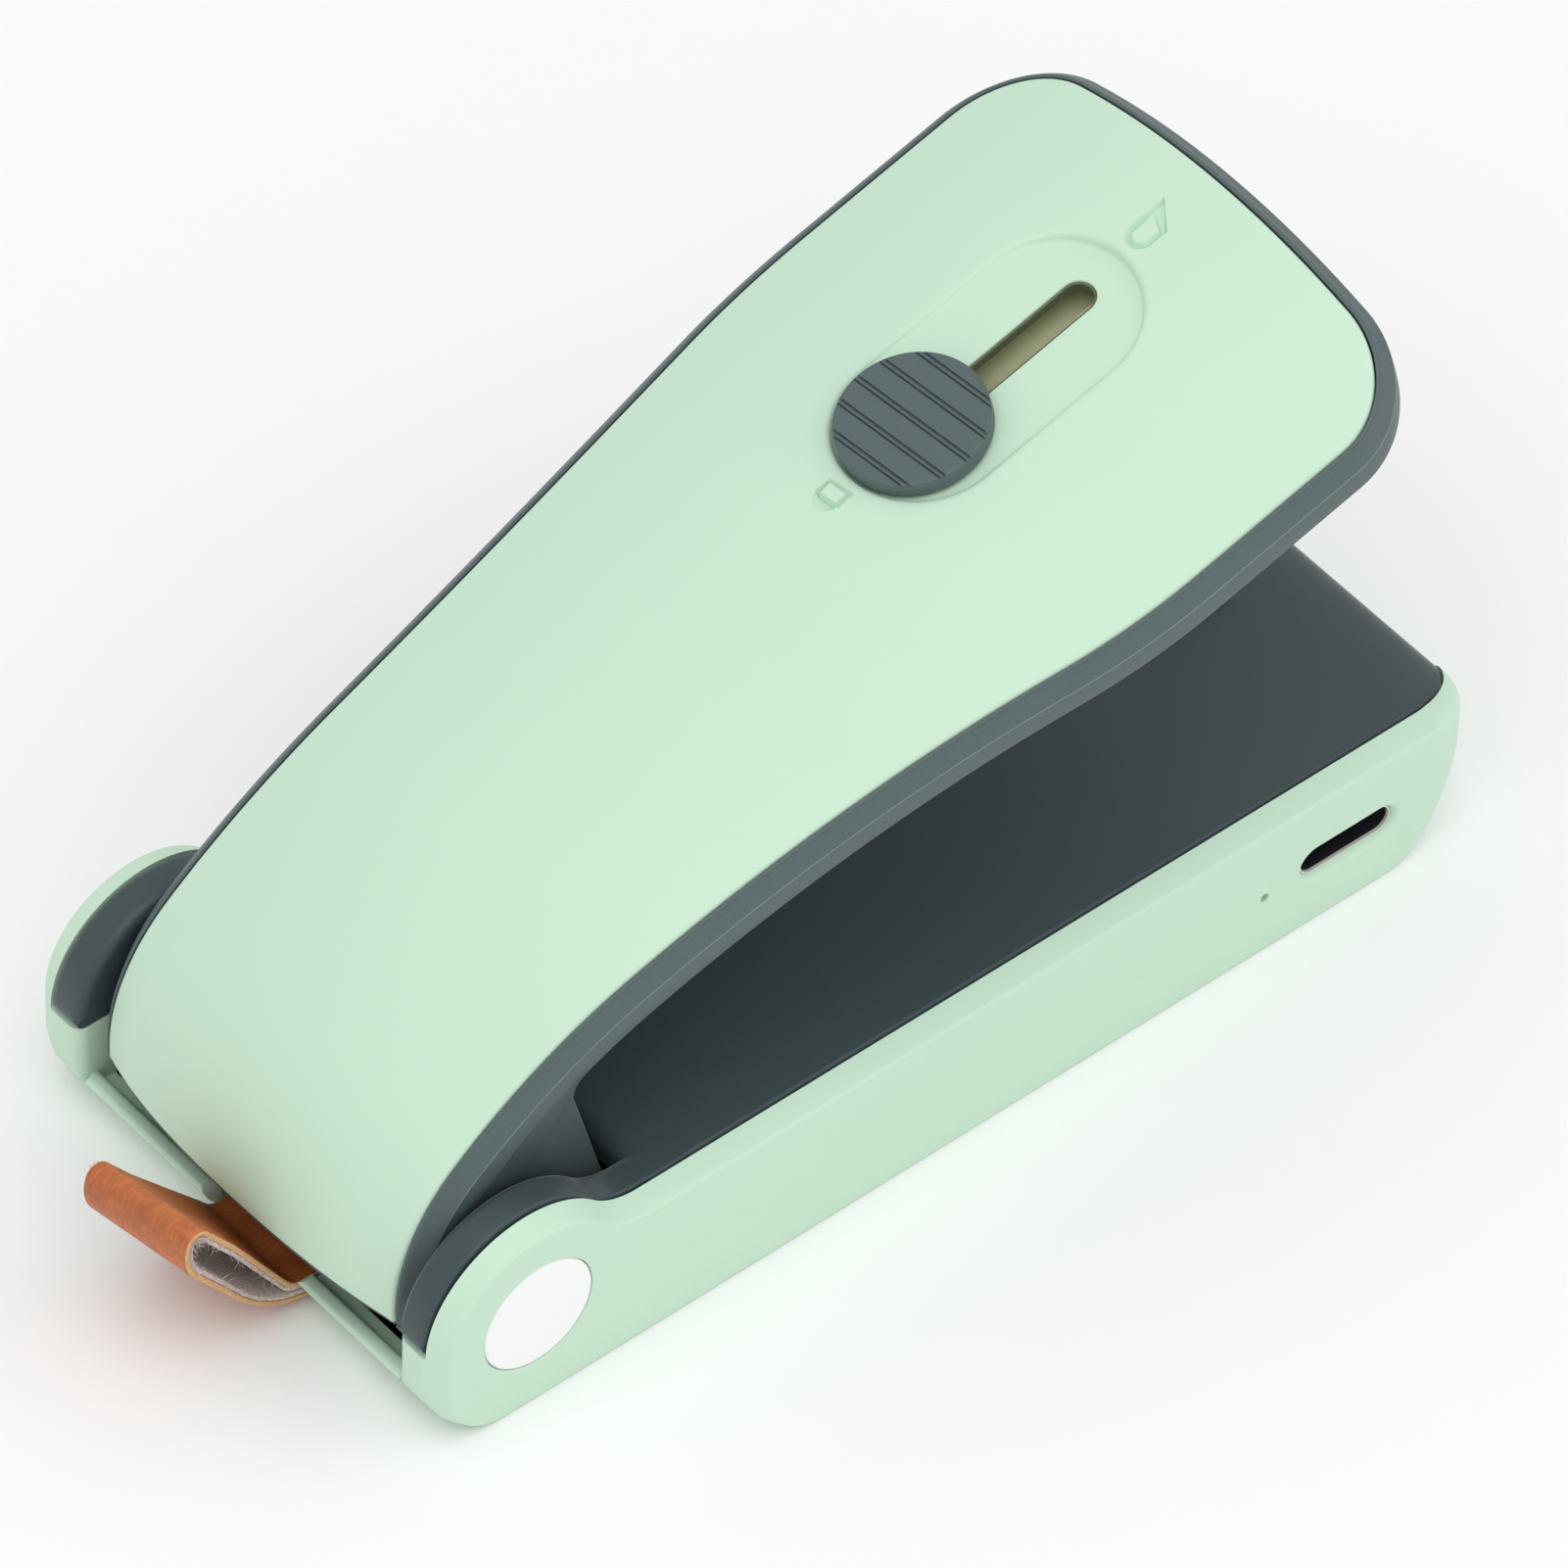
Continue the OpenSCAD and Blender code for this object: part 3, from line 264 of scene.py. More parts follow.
class StageSizes(bpy.types.PropertyGroup):
    """Camera and light."""

    azimuth: angle("Azimuth", 41.42, "Camera's turn from looking along +Y")
    elevation: angle("Elevation", 47.17, "Camera's height angle")
    roll: angle("Roll", 2, "Camera's roll")
    distance: length("Distance", 1175.5, "Camera's distance from the origin's plane")
    focal_px: bpy.props.FloatProperty(
        name="Focal length", default=15210, description="Focal length in pixels of the photograph")
    aim_right: length("Aim right", 1.01, "How far right of the origin the camera aims")
    aim_up: length("Aim up", 12.46, "How far above the origin the camera aims")
    world: bpy.props.FloatProperty(name="World", default=0.72, description="Strength of the even light")
    key: bpy.props.FloatProperty(name="Key", default=2.9, description="Power of the key lamp in watts")
    fill: bpy.props.FloatProperty(name="Fill", default=1.5, description="Power of the fill lamp in watts")


def sizes():
    """All the size groups of the scene."""
    return bpy.context.scene.bag_sealer


class BagSealer(bpy.types.PropertyGroup):
    """Everything that a user would change."""

    arm: bpy.props.PointerProperty(type=ArmSizes)
    knob: bpy.props.PointerProperty(type=KnobSizes)
    base: bpy.props.PointerProperty(type=BaseSizes)
    loop: bpy.props.PointerProperty(type=LoopSizes)
    finish: bpy.props.PointerProperty(type=Finishes)
    stage: bpy.props.PointerProperty(type=StageSizes)


# Mesh helpers


def joint(name):
    """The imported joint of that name."""
    return next(j for j in frame["joints"] if j["name"] == name)


def unit(vectors):
    """Vectors of length one."""
    vectors = np.asarray(vectors, float)
    return vectors / np.linalg.norm(vectors, axis=-1, keepdims=True)


def smoothstep(value):
    """A soft step from 0 to 1."""
    t = np.clip(value, 0, 1)
    return t * t * (3 - 2 * t)


def new_object(name, points, faces):
    """A mesh object in the frame, with its faces turned outwards."""
    mesh = bpy.data.meshes.new(name)
    mesh.from_pydata([tuple(map(float, p)) for p in points], [], faces)
    piece = bpy.data.objects.new(name, mesh)
    bpy.context.scene.collection.objects.link(piece)
    tidy_mesh(piece)
    return piece


def tidy_mesh(piece):
    """Joins doubled points and turns faces outwards."""
    work = bmesh.new()
    work.from_mesh(piece.data)
    bmesh.ops.remove_doubles(work, verts=work.verts, dist=1e-7)
    bmesh.ops.recalc_face_normals(work, faces=work.faces)
    work.to_mesh(piece.data)
    work.free()


def shade(piece, limit=SMOOTH_ANGLE):
    """Smooth shading up to a limit angle."""
    piece.data.shade_smooth()
    piece.data.set_sharp_from_angle(angle=limit)


def dress(piece, material, body, slot, *nodes, limit=SMOOTH_ANGLE):
    """Shades a piece, gives it its material and its body, and hides the nodes that it stands for."""
    shade(piece, limit)
    if not any(piece.data.materials):
        piece.data.materials.clear()
        piece.data.materials.append(material)
    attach(piece, body)
    if nodes:
        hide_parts(*nodes)
    return piece


def second_finish(piece, first, second, chosen):
    """Gives a piece one material, and a second one on the faces for which a test holds."""
    piece.data.materials.append(first)
    piece.data.materials.append(second)
    for face in piece.data.polygons:
        if chosen(face):
            face.material_index = 1


def ring_faces(count, rings, closed=True):
    """Quads between rings of points, each ring closed on itself."""
    faces = []
    last = rings if closed else rings - 1
    for i in range(last):
        j = (i + 1) % rings
        for k in range(count):
            n = (k + 1) % count
            faces.append((i * count + k, i * count + n, j * count + n, j * count + k))
    return faces


def capped_tube(name, rings):
    """A closed mesh through rings of points, with flat ends."""
    count = len(rings[0])
    faces = ring_faces(count, len(rings), closed=False)
    faces.append(tuple(range(count - 1, -1, -1)))
    faces.append(tuple((len(rings) - 1) * count + k for k in range(count)))
    return new_object(name, np.concatenate(rings), faces)


def in_plane(axis, outline, place):
    """Points of a flat outline in the plane at a place along an axis."""
    return np.insert(np.asarray(outline, float), axis, place, axis=1)


def prism(name, axis, outline, low, high):
    """A flat outline, thick along an axis from low to high."""
    return capped_tube(name, [in_plane(axis, outline, place) for place in (low, high)])


def sided(name, side):
    """Name of a piece that is on the near or the far side."""
    return f"{name}_near" if side < 0 else f"{name}_far"


def box_between(name, low, high):
    """A box between two corners, used as a cutter."""
    outline = [(low[0], low[2]), (high[0], low[2]), (high[0], high[2]), (low[0], high[2])]
    return prism(name, Y, outline, low[1], high[1])


def arc(centre, radius, start, end, steps):
    """Points on an arc between two angles in degrees."""
    turns = np.radians(np.linspace(start, end, steps + 1))
    return np.stack([centre[0] + radius * np.cos(turns), centre[1] + radius * np.sin(turns)], 1)


def stadium(x, z, width, height, steps=16):
    """Outline with two round ends."""
    r = height / 2
    half = width / 2 - r
    return np.concatenate([arc((x + half, z), r, -90, 90, steps), arc((x - half, z), r, 90, 270, steps)])


def lathe_y(name, profile, x, z, steps=96):
    """A turned piece about an axis along Y; profile holds pairs of radius and y."""
    turns = np.linspace(0, 2 * math.pi, steps, endpoint=False)
    rings = [in_plane(Y, np.stack([x + r * np.cos(turns), z + r * np.sin(turns)], 1), y) for r, y in profile]
    return capped_tube(name, rings)


def carve(piece, cutters, operation="DIFFERENCE"):
    """Cuts pieces out of a piece, or joins them to it, and drops them."""
    for cutter in cutters:
        step = piece.modifiers.new(cutter.name, "BOOLEAN")
        step.operation = operation
        step.object = cutter
        step.solver = "MANIFOLD"
    bpy.context.view_layer.update()
    result = piece.evaluated_get(bpy.context.evaluated_depsgraph_get())
    mesh = bpy.data.meshes.new_from_object(result)
    if len(mesh.vertices) <= 8:
        raise RuntimeError(f"carving {piece.name} left nothing")
    piece.modifiers.clear()
    piece.data = mesh
    for cutter in cutters:
        bpy.data.objects.remove(cutter)
    tidy_mesh(piece)
    return piece


def round_inset(distance, rounding):
    """How far an outline is drawn in at a distance from its rounded end."""
    depth = np.clip(rounding - distance, 0, rounding)
    return rounding - np.sqrt(np.maximum(rounding ** 2 - depth ** 2, 0))


def crowned_inset(distance, rounding):
    """How far an outline is drawn in beside its end: a bowed slope, then a small round."""
    depth = np.clip(rounding - distance, 0, rounding)
    slope = CROWN_SLOPE * depth + CROWN_BOW * depth ** 2 / rounding
    return slope + round_inset(distance, EDGE_SHARE * rounding)


def loft_y(name, points, normals, y_low, y_high, low_round, high_round, steps=16, plan=None, inset=round_inset):
    """An outline in X and Z pushed along Y, with each of its points rounded at both ends."""
    low_most = np.max(low_round)
    high_most = np.max(high_round)
    bow = 1 - np.sin(np.linspace(0, math.pi / 2, steps + 1))
    stations = np.concatenate([y_low + low_most * bow[::-1], y_high - high_most * bow])
    if plan:
        stations = np.concatenate([stations, plan.stations])
    rings = []
    for y in np.unique(np.round(stations, 8)):
        drawn = inset(y - y_low, low_round) + inset(y_high - y, high_round)
        place = points - normals * drawn[:, None]
        if plan:
            place[:, 0] = plan.drawn_in(place[:, 0], y)
        rings.append(in_plane(Y, place, y))
    return capped_tube(name, rings)


class FrontCorner:
    """Elliptic front corners, seen from above, to which an outline is drawn in along X."""

    def __init__(self, front_x, half_w, corner_l, corner_w):
        self.front_x, self.half_w = front_x, half_w
        self.corner_l, self.corner_w = corner_l, corner_w
        self.reach = corner_l + 4 * MM
        bow = half_w - corner_w * (1 - np.sin(np.linspace(0, math.pi / 2, 21)))
        self.stations = np.concatenate([-bow[::-1], bow])

    def inset(self, y):
        """How far the corner takes the front back at a distance y from the middle."""
        depth = max(0.0, abs(y) - (self.half_w - self.corner_w)) / self.corner_w
        return self.corner_l * (1 - math.sqrt(max(0.0, 1 - depth ** 2)))

    def drawn_in(self, x, y):
        """Places along X after the front is drawn in to the corner."""
        start = self.front_x - self.reach
        return np.where(x > start, start + (x - start) * (self.reach - self.inset(y)) / self.reach, x)

    def trimmed(self, x, y):
        """Places along X after the corner is cut straight off."""
        return np.minimum(x, self.front_x - self.inset(y))


def softened_copy(node, width, segments=2):
    """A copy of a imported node's mesh with its edges rounded, which stands for the node."""
    source = frame["nodes"][node]
    flat, sharp = math.radians(1), math.radians(40)
    work = bmesh.new()
    work.from_mesh(source.data)
    bmesh.ops.remove_doubles(work, verts=work.verts, dist=1e-6)
    bmesh.ops.dissolve_limit(work, angle_limit=flat, verts=work.verts, edges=work.edges)
    edges = [e for e in work.edges if len(e.link_faces) == 2 and e.calc_face_angle(0) > sharp]
    bmesh.ops.bevel(work, geom=edges, offset=width, segments=segments, affect="EDGES", profile=0.5,
                    clamp_overlap=True)
    mesh = bpy.data.meshes.new(node + "_soft")
    work.to_mesh(mesh)
    work.free()
    piece = bpy.data.objects.new(node + "_soft", mesh)
    bpy.context.scene.collection.objects.link(piece)
    return piece


# The arm's form


class ArmForm:
    """The arm's crowned surface. Along it, s runs back from where the straight crest begins."""

    def __init__(self, arm):
        self.arm = arm
        hinge = joint("arm_hinge")["pos_m"]
        slide = joint("cutter_slide")["axis"]
        self.hinge = np.array([hinge[0], hinge[2]])
        self.tilt = math.atan2(slide[2], slide[0])
        self.s_long = arm.long_r * arm.long_a
        self.s_mid = self.s_long + arm.mid_r * arm.mid_a
        self.turn = arm.long_a + arm.mid_a
        self.long_c = np.array([arm.straight_u, arm.crest_h - arm.long_r])
        self.mid_c = self.long_c + (arm.long_r - arm.mid_r) * self.up(arm.long_a)
        self.back_c = self.mid_c + (arm.mid_r - arm.back_r) * self.up(self.turn)
        rise = arm.front_half_w - arm.rear_half_w
        self.flare = ((arm.flare_to - arm.flare_from) ** 2 + rise ** 2) / (2 * rise)

    @staticmethod
    def up(a):
        """Direction square to the crest after a turn."""
        return np.stack([-np.sin(a), np.cos(a)], -1)

    def sag(self, y):
        """How far the crown falls beside the crest."""
        r = self.arm.crown_r
        return r - np.sqrt(r * r - np.square(y))

    def crest(self, s):
        """Place on the crest, and the turn there."""
        arm = self.arm
        s = np.asarray(s, float)
        a = np.where(s < self.s_long, s / arm.long_r,
                     np.where(s < self.s_mid, arm.long_a + (s - self.s_long) / arm.mid_r,
                              self.turn + (s - self.s_mid) / arm.back_r))
        a = np.where(s < 0, 0.0, a)
        straight = np.stack([arm.straight_u - s, np.full_like(s, arm.crest_h)], -1)
        up = self.up(a)
        place = np.where((s < self.s_long)[..., None], self.long_c + arm.long_r * up,
                         np.where((s < self.s_mid)[..., None], self.mid_c + arm.mid_r * up,
                                  self.back_c + arm.back_r * up))
        return np.where((s < 0)[..., None], straight, place), a

    def surface(self, s, y, depth=0.0):
        """Points of the skin, in the arm's own frame, at a depth under its outside."""
        c, a = self.crest(s)
        q = c - (self.sag(y) + depth)[..., None] * self.up(a)
        return np.stack([q[..., 0], np.broadcast_to(y, q[..., 0].shape), q[..., 1]], -1)

    def half_width(self, u):
        """Half width of the skin at a place along the arm."""
        arm = self.arm
        inner_r = self.flare * arm.flare_share
        outer_r = self.flare - inner_r
        meet = arm.flare_from + (arm.flare_to - arm.flare_from) * arm.flare_share
        first = arm.rear_half_w + inner_r - np.sqrt(inner_r ** 2 - np.clip(u - arm.flare_from, 0, inner_r) ** 2)
        second = arm.front_half_w - outer_r + np.sqrt(
            outer_r ** 2 - np.clip(arm.flare_to - u, 0, outer_r) ** 2)
        return np.where(u < meet, first, second)

    def edge_half_width(self, s):
        """Half width of the skin beside a place on the crest."""
        c, a = self.crest(s)
        w = self.half_width(c[..., 0] + np.sin(a) * self.sag(self.arm.rear_half_w))
        return self.half_width(c[..., 0] + np.sin(a) * self.sag(w))

    def to_frame(self, points):
        """From the arm's own frame to the open arm in the shared frame."""
        p = np.asarray(points, float)
        c, s = math.cos(self.tilt), math.sin(self.tilt)
        return np.stack([self.hinge[0] + p[..., 0] * c - p[..., 2] * s, p[..., 1],
                         self.hinge[1] + p[..., 0] * s + p[..., 2] * c], -1)

    def edge_half(self):
        """One side of the skin's outline, as s and y, and how many of its points lie before the rear edge."""
        arm = self.arm
        corner_y = arm.front_half_w - arm.nose_r
        nose_y = np.linspace(0, corner_y, 16)
        nose_u = arm.front_u - nose_y ** 2 / (2 * arm.nose_bow_r)
        corner_u = nose_u[-1] - arm.nose_r
        turns = np.linspace(0, math.pi / 2, 22)[1:]
        corner = np.stack([arm.straight_u - corner_u - arm.nose_r * np.cos(turns),
                           corner_y + arm.nose_r * np.sin(turns)], 1)
        s_rear = self.s_mid + arm.back_r * arm.back_a
        side_s = np.linspace(corner[-1, 0], s_rear, 140)[1:]
        side = np.stack([side_s, self.edge_half_width(side_s)], 1)
        share = np.linspace(1, 0, 30)[1:]
        rear_s = s_rear - arm.back_r * arm.rear_arch_a * (1 - share ** 2)
        rear = np.stack([rear_s, self.edge_half_width(rear_s) * share], 1)
        nose = np.stack([arm.straight_u - nose_u, nose_y], 1)
        return np.concatenate([nose, corner, side, rear]), len(nose) + len(corner) + len(side)

    def edge_loop(self):
        """The skin's whole outline, closed, from the middle of the nose round."""
        half = self.edge_half()[0]
        other = half[1:-1][::-1] * [1, -1]
        return np.concatenate([half, other])

    def edge_frame(self, line):
        """Points on the skin along a line of s and y, with the ways down into the arm and back along it."""
        turn = self.crest(line[:, 0])[1]
        level = np.zeros(len(line))
        points = self.surface(line[:, 0], line[:, 1], level)
        down = np.stack([np.sin(turn), level, -np.cos(turn)], 1)
        back = np.stack([-np.cos(turn), level, -np.sin(turn)], 1)
        return points, down, back


def inward_normals(loop):
    """Directions into a closed outline, square to it."""
    ahead = np.roll(loop, -1, 0) - np.roll(loop, 1, 0)
    normal = unit(np.stack([-ahead[:, 1], ahead[:, 0]], 1))
    middle = loop.mean(0)
    sign = np.sign(np.sum((middle - loop) * normal, 1))
    return normal * np.sign(np.median(sign))


def swept(name, form, edge, out, down, section):
    """A section of outward and downward distances, swept along an edge of the arm."""
    rings = [np.array([e + x * o + z * d for x, z in section]) for e, o, d in zip(edge, out, down)]
    return capped_tube(name, [form.to_frame(r) for r in rings])


def build_skin():
    """The crowned skin as one closed sheet of rings, from the slot out to its edge and back underneath."""
    arm, knob = sizes().arm, sizes().knob
    form = ArmForm(arm)
    travel = joint("cutter_slide")["range_m"][1]
    loop = form.edge_loop()
    inward = inward_normals(loop)
    s_knob = arm.straight_u - knob.place_u
    s_rear = s_knob - arm.recess_ahead
    s_front = s_knob - travel - arm.recess_more
    axis_s = np.clip(loop[:, 0], s_front, s_rear)
    centre = in_plane(1, axis_s[:, None], 0)
    spoke = unit(loop - centre)
    share = (axis_s - s_front) / (s_rear - s_front)
    slot_front = s_knob - travel - arm.slot_more
    slot_s = slot_front + share * (s_knob + arm.slot_rear - slot_front)
    slot_centre = in_plane(1, slot_s[:, None], 0)
    slot_r = arm.slot_w / 2
    floor_h = arm.crest_h - arm.recess_d
    # slot's edge, in millimetres: distance outside the slot, and drop under the recess floor
    slot_edge = ((0, 0.3), (0.02, 0.1), (0.09, 0.02), (0.22, 0))
    # recess wall: distance outside its outline in millimetres, and share of its height
    wall = ((-0.3, 0.01), (-0.18, 0.05), (-0.1, 0.13), (-0.03, 0.29), (0.02, 0.46), (0.08, 0.63), (0.16, 0.78),
            (0.27, 0.89), (0.42, 0.965), (0.6, 1))
    wall_foot = 0.45 * MM

    def on_floor(place, drop):
        """Points, from s and y, at a drop under the recess floor."""
        return np.stack([arm.straight_u - place[:, 0], place[:, 1], np.full(len(place), floor_h - drop)], 1)

    def on_skin(place, depth):
        """Points, from s and y, at a depth under the skin's outside."""
        return form.surface(place[:, 0], place[:, 1], np.full(len(place), depth))

    under = slot_centre + spoke * slot_r
    rings = [on_skin(under, arm.skin_t)]
    for out, drop in slot_edge:
        rings.append(on_floor(slot_centre + spoke * (slot_r + out * MM), drop * MM))
    start = slot_centre + spoke * (slot_r + slot_edge[-1][0] * MM)
    end = centre + spoke * (arm.recess_half_w - wall_foot)
    for t in np.linspace(0, 1, 8)[1:]:
        rings.append(on_floor(start + (end - start) * t, 0))
    for out, share_h in wall:
        place = centre + spoke * (arm.recess_half_w + out * MM)
        low = on_floor(place, 0)
        rings.append(low + (on_skin(place, 0) - low) * share_h)
    rim = centre + spoke * (arm.recess_half_w + wall[-1][0] * MM)
    outer = loop + inward * arm.edge_r
    for t in np.linspace(0, 1, 61)[1:]:
        rings.append(on_skin(rim + (outer - rim) * t, 0))
    for turn in np.linspace(0, math.pi / 2, 6)[1:]:
        place = loop + inward * arm.edge_r * (1 - math.sin(turn))
        rings.append(on_skin(place, arm.edge_r * (1 - math.cos(turn))))
    for t in np.linspace(0, 1, 31)[:-1]:
        rings.append(on_skin(loop + (under - loop) * t, arm.skin_t))
    points = form.to_frame(np.concatenate(rings))
    return new_object("skin", points, ring_faces(len(loop), len(rings)))


def mark_cutter(name, outline, form, depth, island=False):
    """A cutter that presses an outline, in u and y, into the skin with sloped walls; an island widens downwards."""
    arm = form.arm
    outline = np.asarray(outline) * MM
    inward = inward_normals(outline) * arm.mark_slope
    depth = np.broadcast_to(depth, len(outline))
    over = MM
    levels = [(-depth, outline + inward), (0 * depth, outline), (0 * depth + over, outline)]
    if island:
        levels = [(-2 * depth, outline - 2 * inward), (0 * depth, outline), (0 * depth + 2 * over, outline)]
    rings = [form.to_frame(form.surface(arm.straight_u - flat[:, 0], flat[:, 1], -rise)) for rise, flat in levels]
    return capped_tube(name, rings)


def frame_cutter(name, outer, inner, form, depth):
    """A cutter for a pressed-in frame round an island."""
    frame_mark = mark_cutter(name, outer, form, depth)
    return carve(frame_mark, [mark_cutter(name + "_island", inner, form, depth, island=True)])


def build_marks(skin):
    """Presses the two small marks into the skin: a blade at the front and a lock at the rear."""
    form = ArmForm(sizes().arm)
    depth = sizes().arm.mark_d
    # outlines in millimetres, along the arm from the hinge axis and across it
    blade = np.concatenate([[(93.18, 1.33), (91.16, -1.31)], arc((89.5, 0.02), 1.29, -90, -270, 18)])
    blade_island = np.concatenate([[(91.5, 0.66), (90.72, -0.7)], arc((89.55, 0), 0.68, -90, -270, 18)])
    lock = [(58.36, 1.3), (58.67, -1.27), (56.96, -1.32), (56.77, 1.38)]
    lock_island = [(58.05, 0.98), (58.2, -0.72), (57.15, -0.72), (57.0, 0.88)]
    shackle = np.concatenate([arc((56.95, 0.1), 1.2, 98, 262, 18), [(57.1, -1.0), (57.0, 1.1)]])
    # the shackle grows deeper towards the lock
    ramp_from, ramp_l = 55.2, 1.3
    ramp = depth * np.clip((shackle[:, 0] - ramp_from) / ramp_l, 0.5, 1.5)
    cutters = [
        frame_cutter("blade_mark", blade, blade_island, form, depth),
        frame_cutter("lock_mark", lock, lock_island, form, depth),
        mark_cutter("shackle_mark", shackle, form, ramp),
    ]
    return carve(skin, cutters)


def build_slot_liner():
    """The sleeve in the slot, and a shelf under the slot's near edge that hides the slit in the channel's lid."""
    arm, knob = sizes().arm, sizes().knob
    form = ArmForm(arm)
    travel = joint("cutter_slide")["range_m"][1]
    rear, front = knob.place_u - arm.slot_rear, knob.place_u + travel + arm.slot_more
    floor_h, under_h = arm.crest_h - arm.recess_d, arm.crest_h - arm.skin_t
    outer, inner = arm.slot_w / 2 - 0.02 * MM, arm.slot_w / 2 - 0.2 * MM
    foot = under_h - 0.1 * MM
    # the sleeve's section as pairs of distance from the slot's middle and height
    sleeve_section = ((outer, foot), (outer, floor_h - 0.24 * MM), (outer - 0.06 * MM, floor_h - 0.18 * MM),
                      (inner, floor_h - 0.2 * MM), (inner, foot))
    rings = []
    for r, h in sleeve_section:
        flat = np.concatenate([arc((front, 0), r, -90, 90, 24), arc((rear, 0), r, 90, 270, 24)])
        rings.append(form.to_frame(in_plane(Z, flat, h)))
    sleeve = new_object("slot_sleeve", np.concatenate(rings), ring_faces(len(rings[0]), len(rings)))
    top, low, edge = under_h - 0.12 * MM, under_h - 0.7 * MM, 0.2 * MM
    wall_y, inner_y = -2.6 * MM, -0.64 * MM
    shelf_section = [(wall_y, low), (inner_y, low), (inner_y, top - edge), (-0.7 * MM, top - 0.3 * edge),
                     (-0.84 * MM, top), (wall_y, top)]
    ends = [form.to_frame(in_plane(X, shelf_section, u)) for u in (rear - MM, front + MM)]
    return sleeve, capped_tube("slot_shelf", ends)


def bezel_section(arm):
    """The bezel's section as pairs of outward and downward distance, and the places of its edge that gets a painted
    highlight.
    """
    w, slope, h = arm.bezel_w, arm.bezel_slope_h, arm.bezel_h
    lip, foot, ease = 0.15 * MM, -0.6 * MM, 0.1 * MM
    under = arm.skin_t + 0.2 * MM
    # narrow strip next to the skin, with a fine groove beside it
    strip = [(lip, 0.5 * MM), (lip, 0.2 * MM), (lip + 0.04 * MM, 0.13 * MM), (0.36 * MM, 0.17 * MM),
             (0.41 * MM, 0.25 * MM), (0.45 * MM, 0.29 * MM), (0.5 * MM, 0.29 * MM)]
    shoulder = [(0.6 * w, 0.56 * slope), (0.8 * w, 0.78 * slope), (w - ease, slope - 1.1 * ease)]
    edge = [(w - 0.4 * ease, slope - 0.4 * ease), (w - 0.08 * ease, slope + 0.1 * ease), (w, slope + 0.7 * ease)]
    flank = [(w, (slope + h) / 2), (w, h - ease), (w - 0.3 * ease, h - 0.3 * ease), (w - ease, h)]
    first = len(strip) + len(shoulder)
    return strip + shoulder + edge + flank + [(foot, h), (foot, under), (lip, under)], (first, first + 1)


def build_bezel():
    """The band round the skin's sides and nose, swept along the skin's edge, with a painted highlight on its crisp
    edge.
    """
    form = ArmForm(sizes().arm)
    half, rear = form.edge_half()
    side = half[:rear]
    line = np.concatenate([side[::-1], side[1:] * [1, -1]])
    edge, down, _ = form.edge_frame(line)
    along = unit(np.gradient(edge, axis=0))
    out = unit(np.cross(along, down))
    out *= np.sign(np.sum(out * (edge - edge.mean(0)), 1))[:, None]
    section, highlight_faces = bezel_section(form.arm)
    bezel = swept("bezel", form, edge, out, down, section)
    band_faces = len(section) * (len(line) - 1)
    # the crisp edge's faces take a lighter moulding: a painted highlight
    second_finish(bezel, dark(), dark_painted_highlight(),
                  lambda face: face.index < band_faces and face.index % len(section) in highlight_faces)
    return bezel


def build_rear_lip():
    """The thin dark lip under the skin's rear edge, which closes the bezel behind."""
    form = ArmForm(sizes().arm)
    half, rear = form.edge_half()
    edge_line = half[rear - 1:]
    line = np.concatenate([edge_line, edge_line[-2::-1] * [1, -1]])
    edge, down, back = form.edge_frame(line)
    under = form.arm.skin_t / MM
    # in millimetres: distance behind the skin's edge, and depth
    section = np.array([(0.03, 0.22), (0.12, 0.14), (0.3, 0.17), (0.4, 0.3), (0.43, 0.6), (0.43, under - 0.3),
                        (0.3, under), (0.03, under)]) * MM
    return swept("rear_lip", form, edge, back, down, section)


def build_nose_side(side):
    """The wall that closes a front corner of the arm, from the tray's edge up into the bezel."""
    arm = sizes().arm
    form = ArmForm(arm)
    wall_t, low, clear = 1.1 * MM, arm.tray_top - 0.1 * MM, 0.3 * MM
    # it starts a little round the corner, and first laps behind the straight front
    first_turn, lap = 0.1, np.array([0.3, 0.5]) * MM
    turns = np.linspace(first_turn, math.pi / 2, 25)
    ways = np.stack([np.cos(turns), np.sin(turns)], 1)
    places = [arm.front_u - arm.nose_r, arm.front_half_w - arm.nose_r] + (arm.nose_r - arm.tray_inset) * ways
    places = np.concatenate([places[:1] - lap, places])
    ways = np.concatenate([ways[:1], ways])
    rings = []
    for out, way in zip(places, ways):
        top = arm.crest_h - form.sag(out[1]) - arm.skin_t - clear
        inner = out - wall_t * way
        ring = np.array([(*out, low), (*out, top), (*inner, top), (*inner, low)])
        rings.append(form.to_frame(ring * [1, side, 1]))
    return capped_tube(sided("nose_side", side), rings)


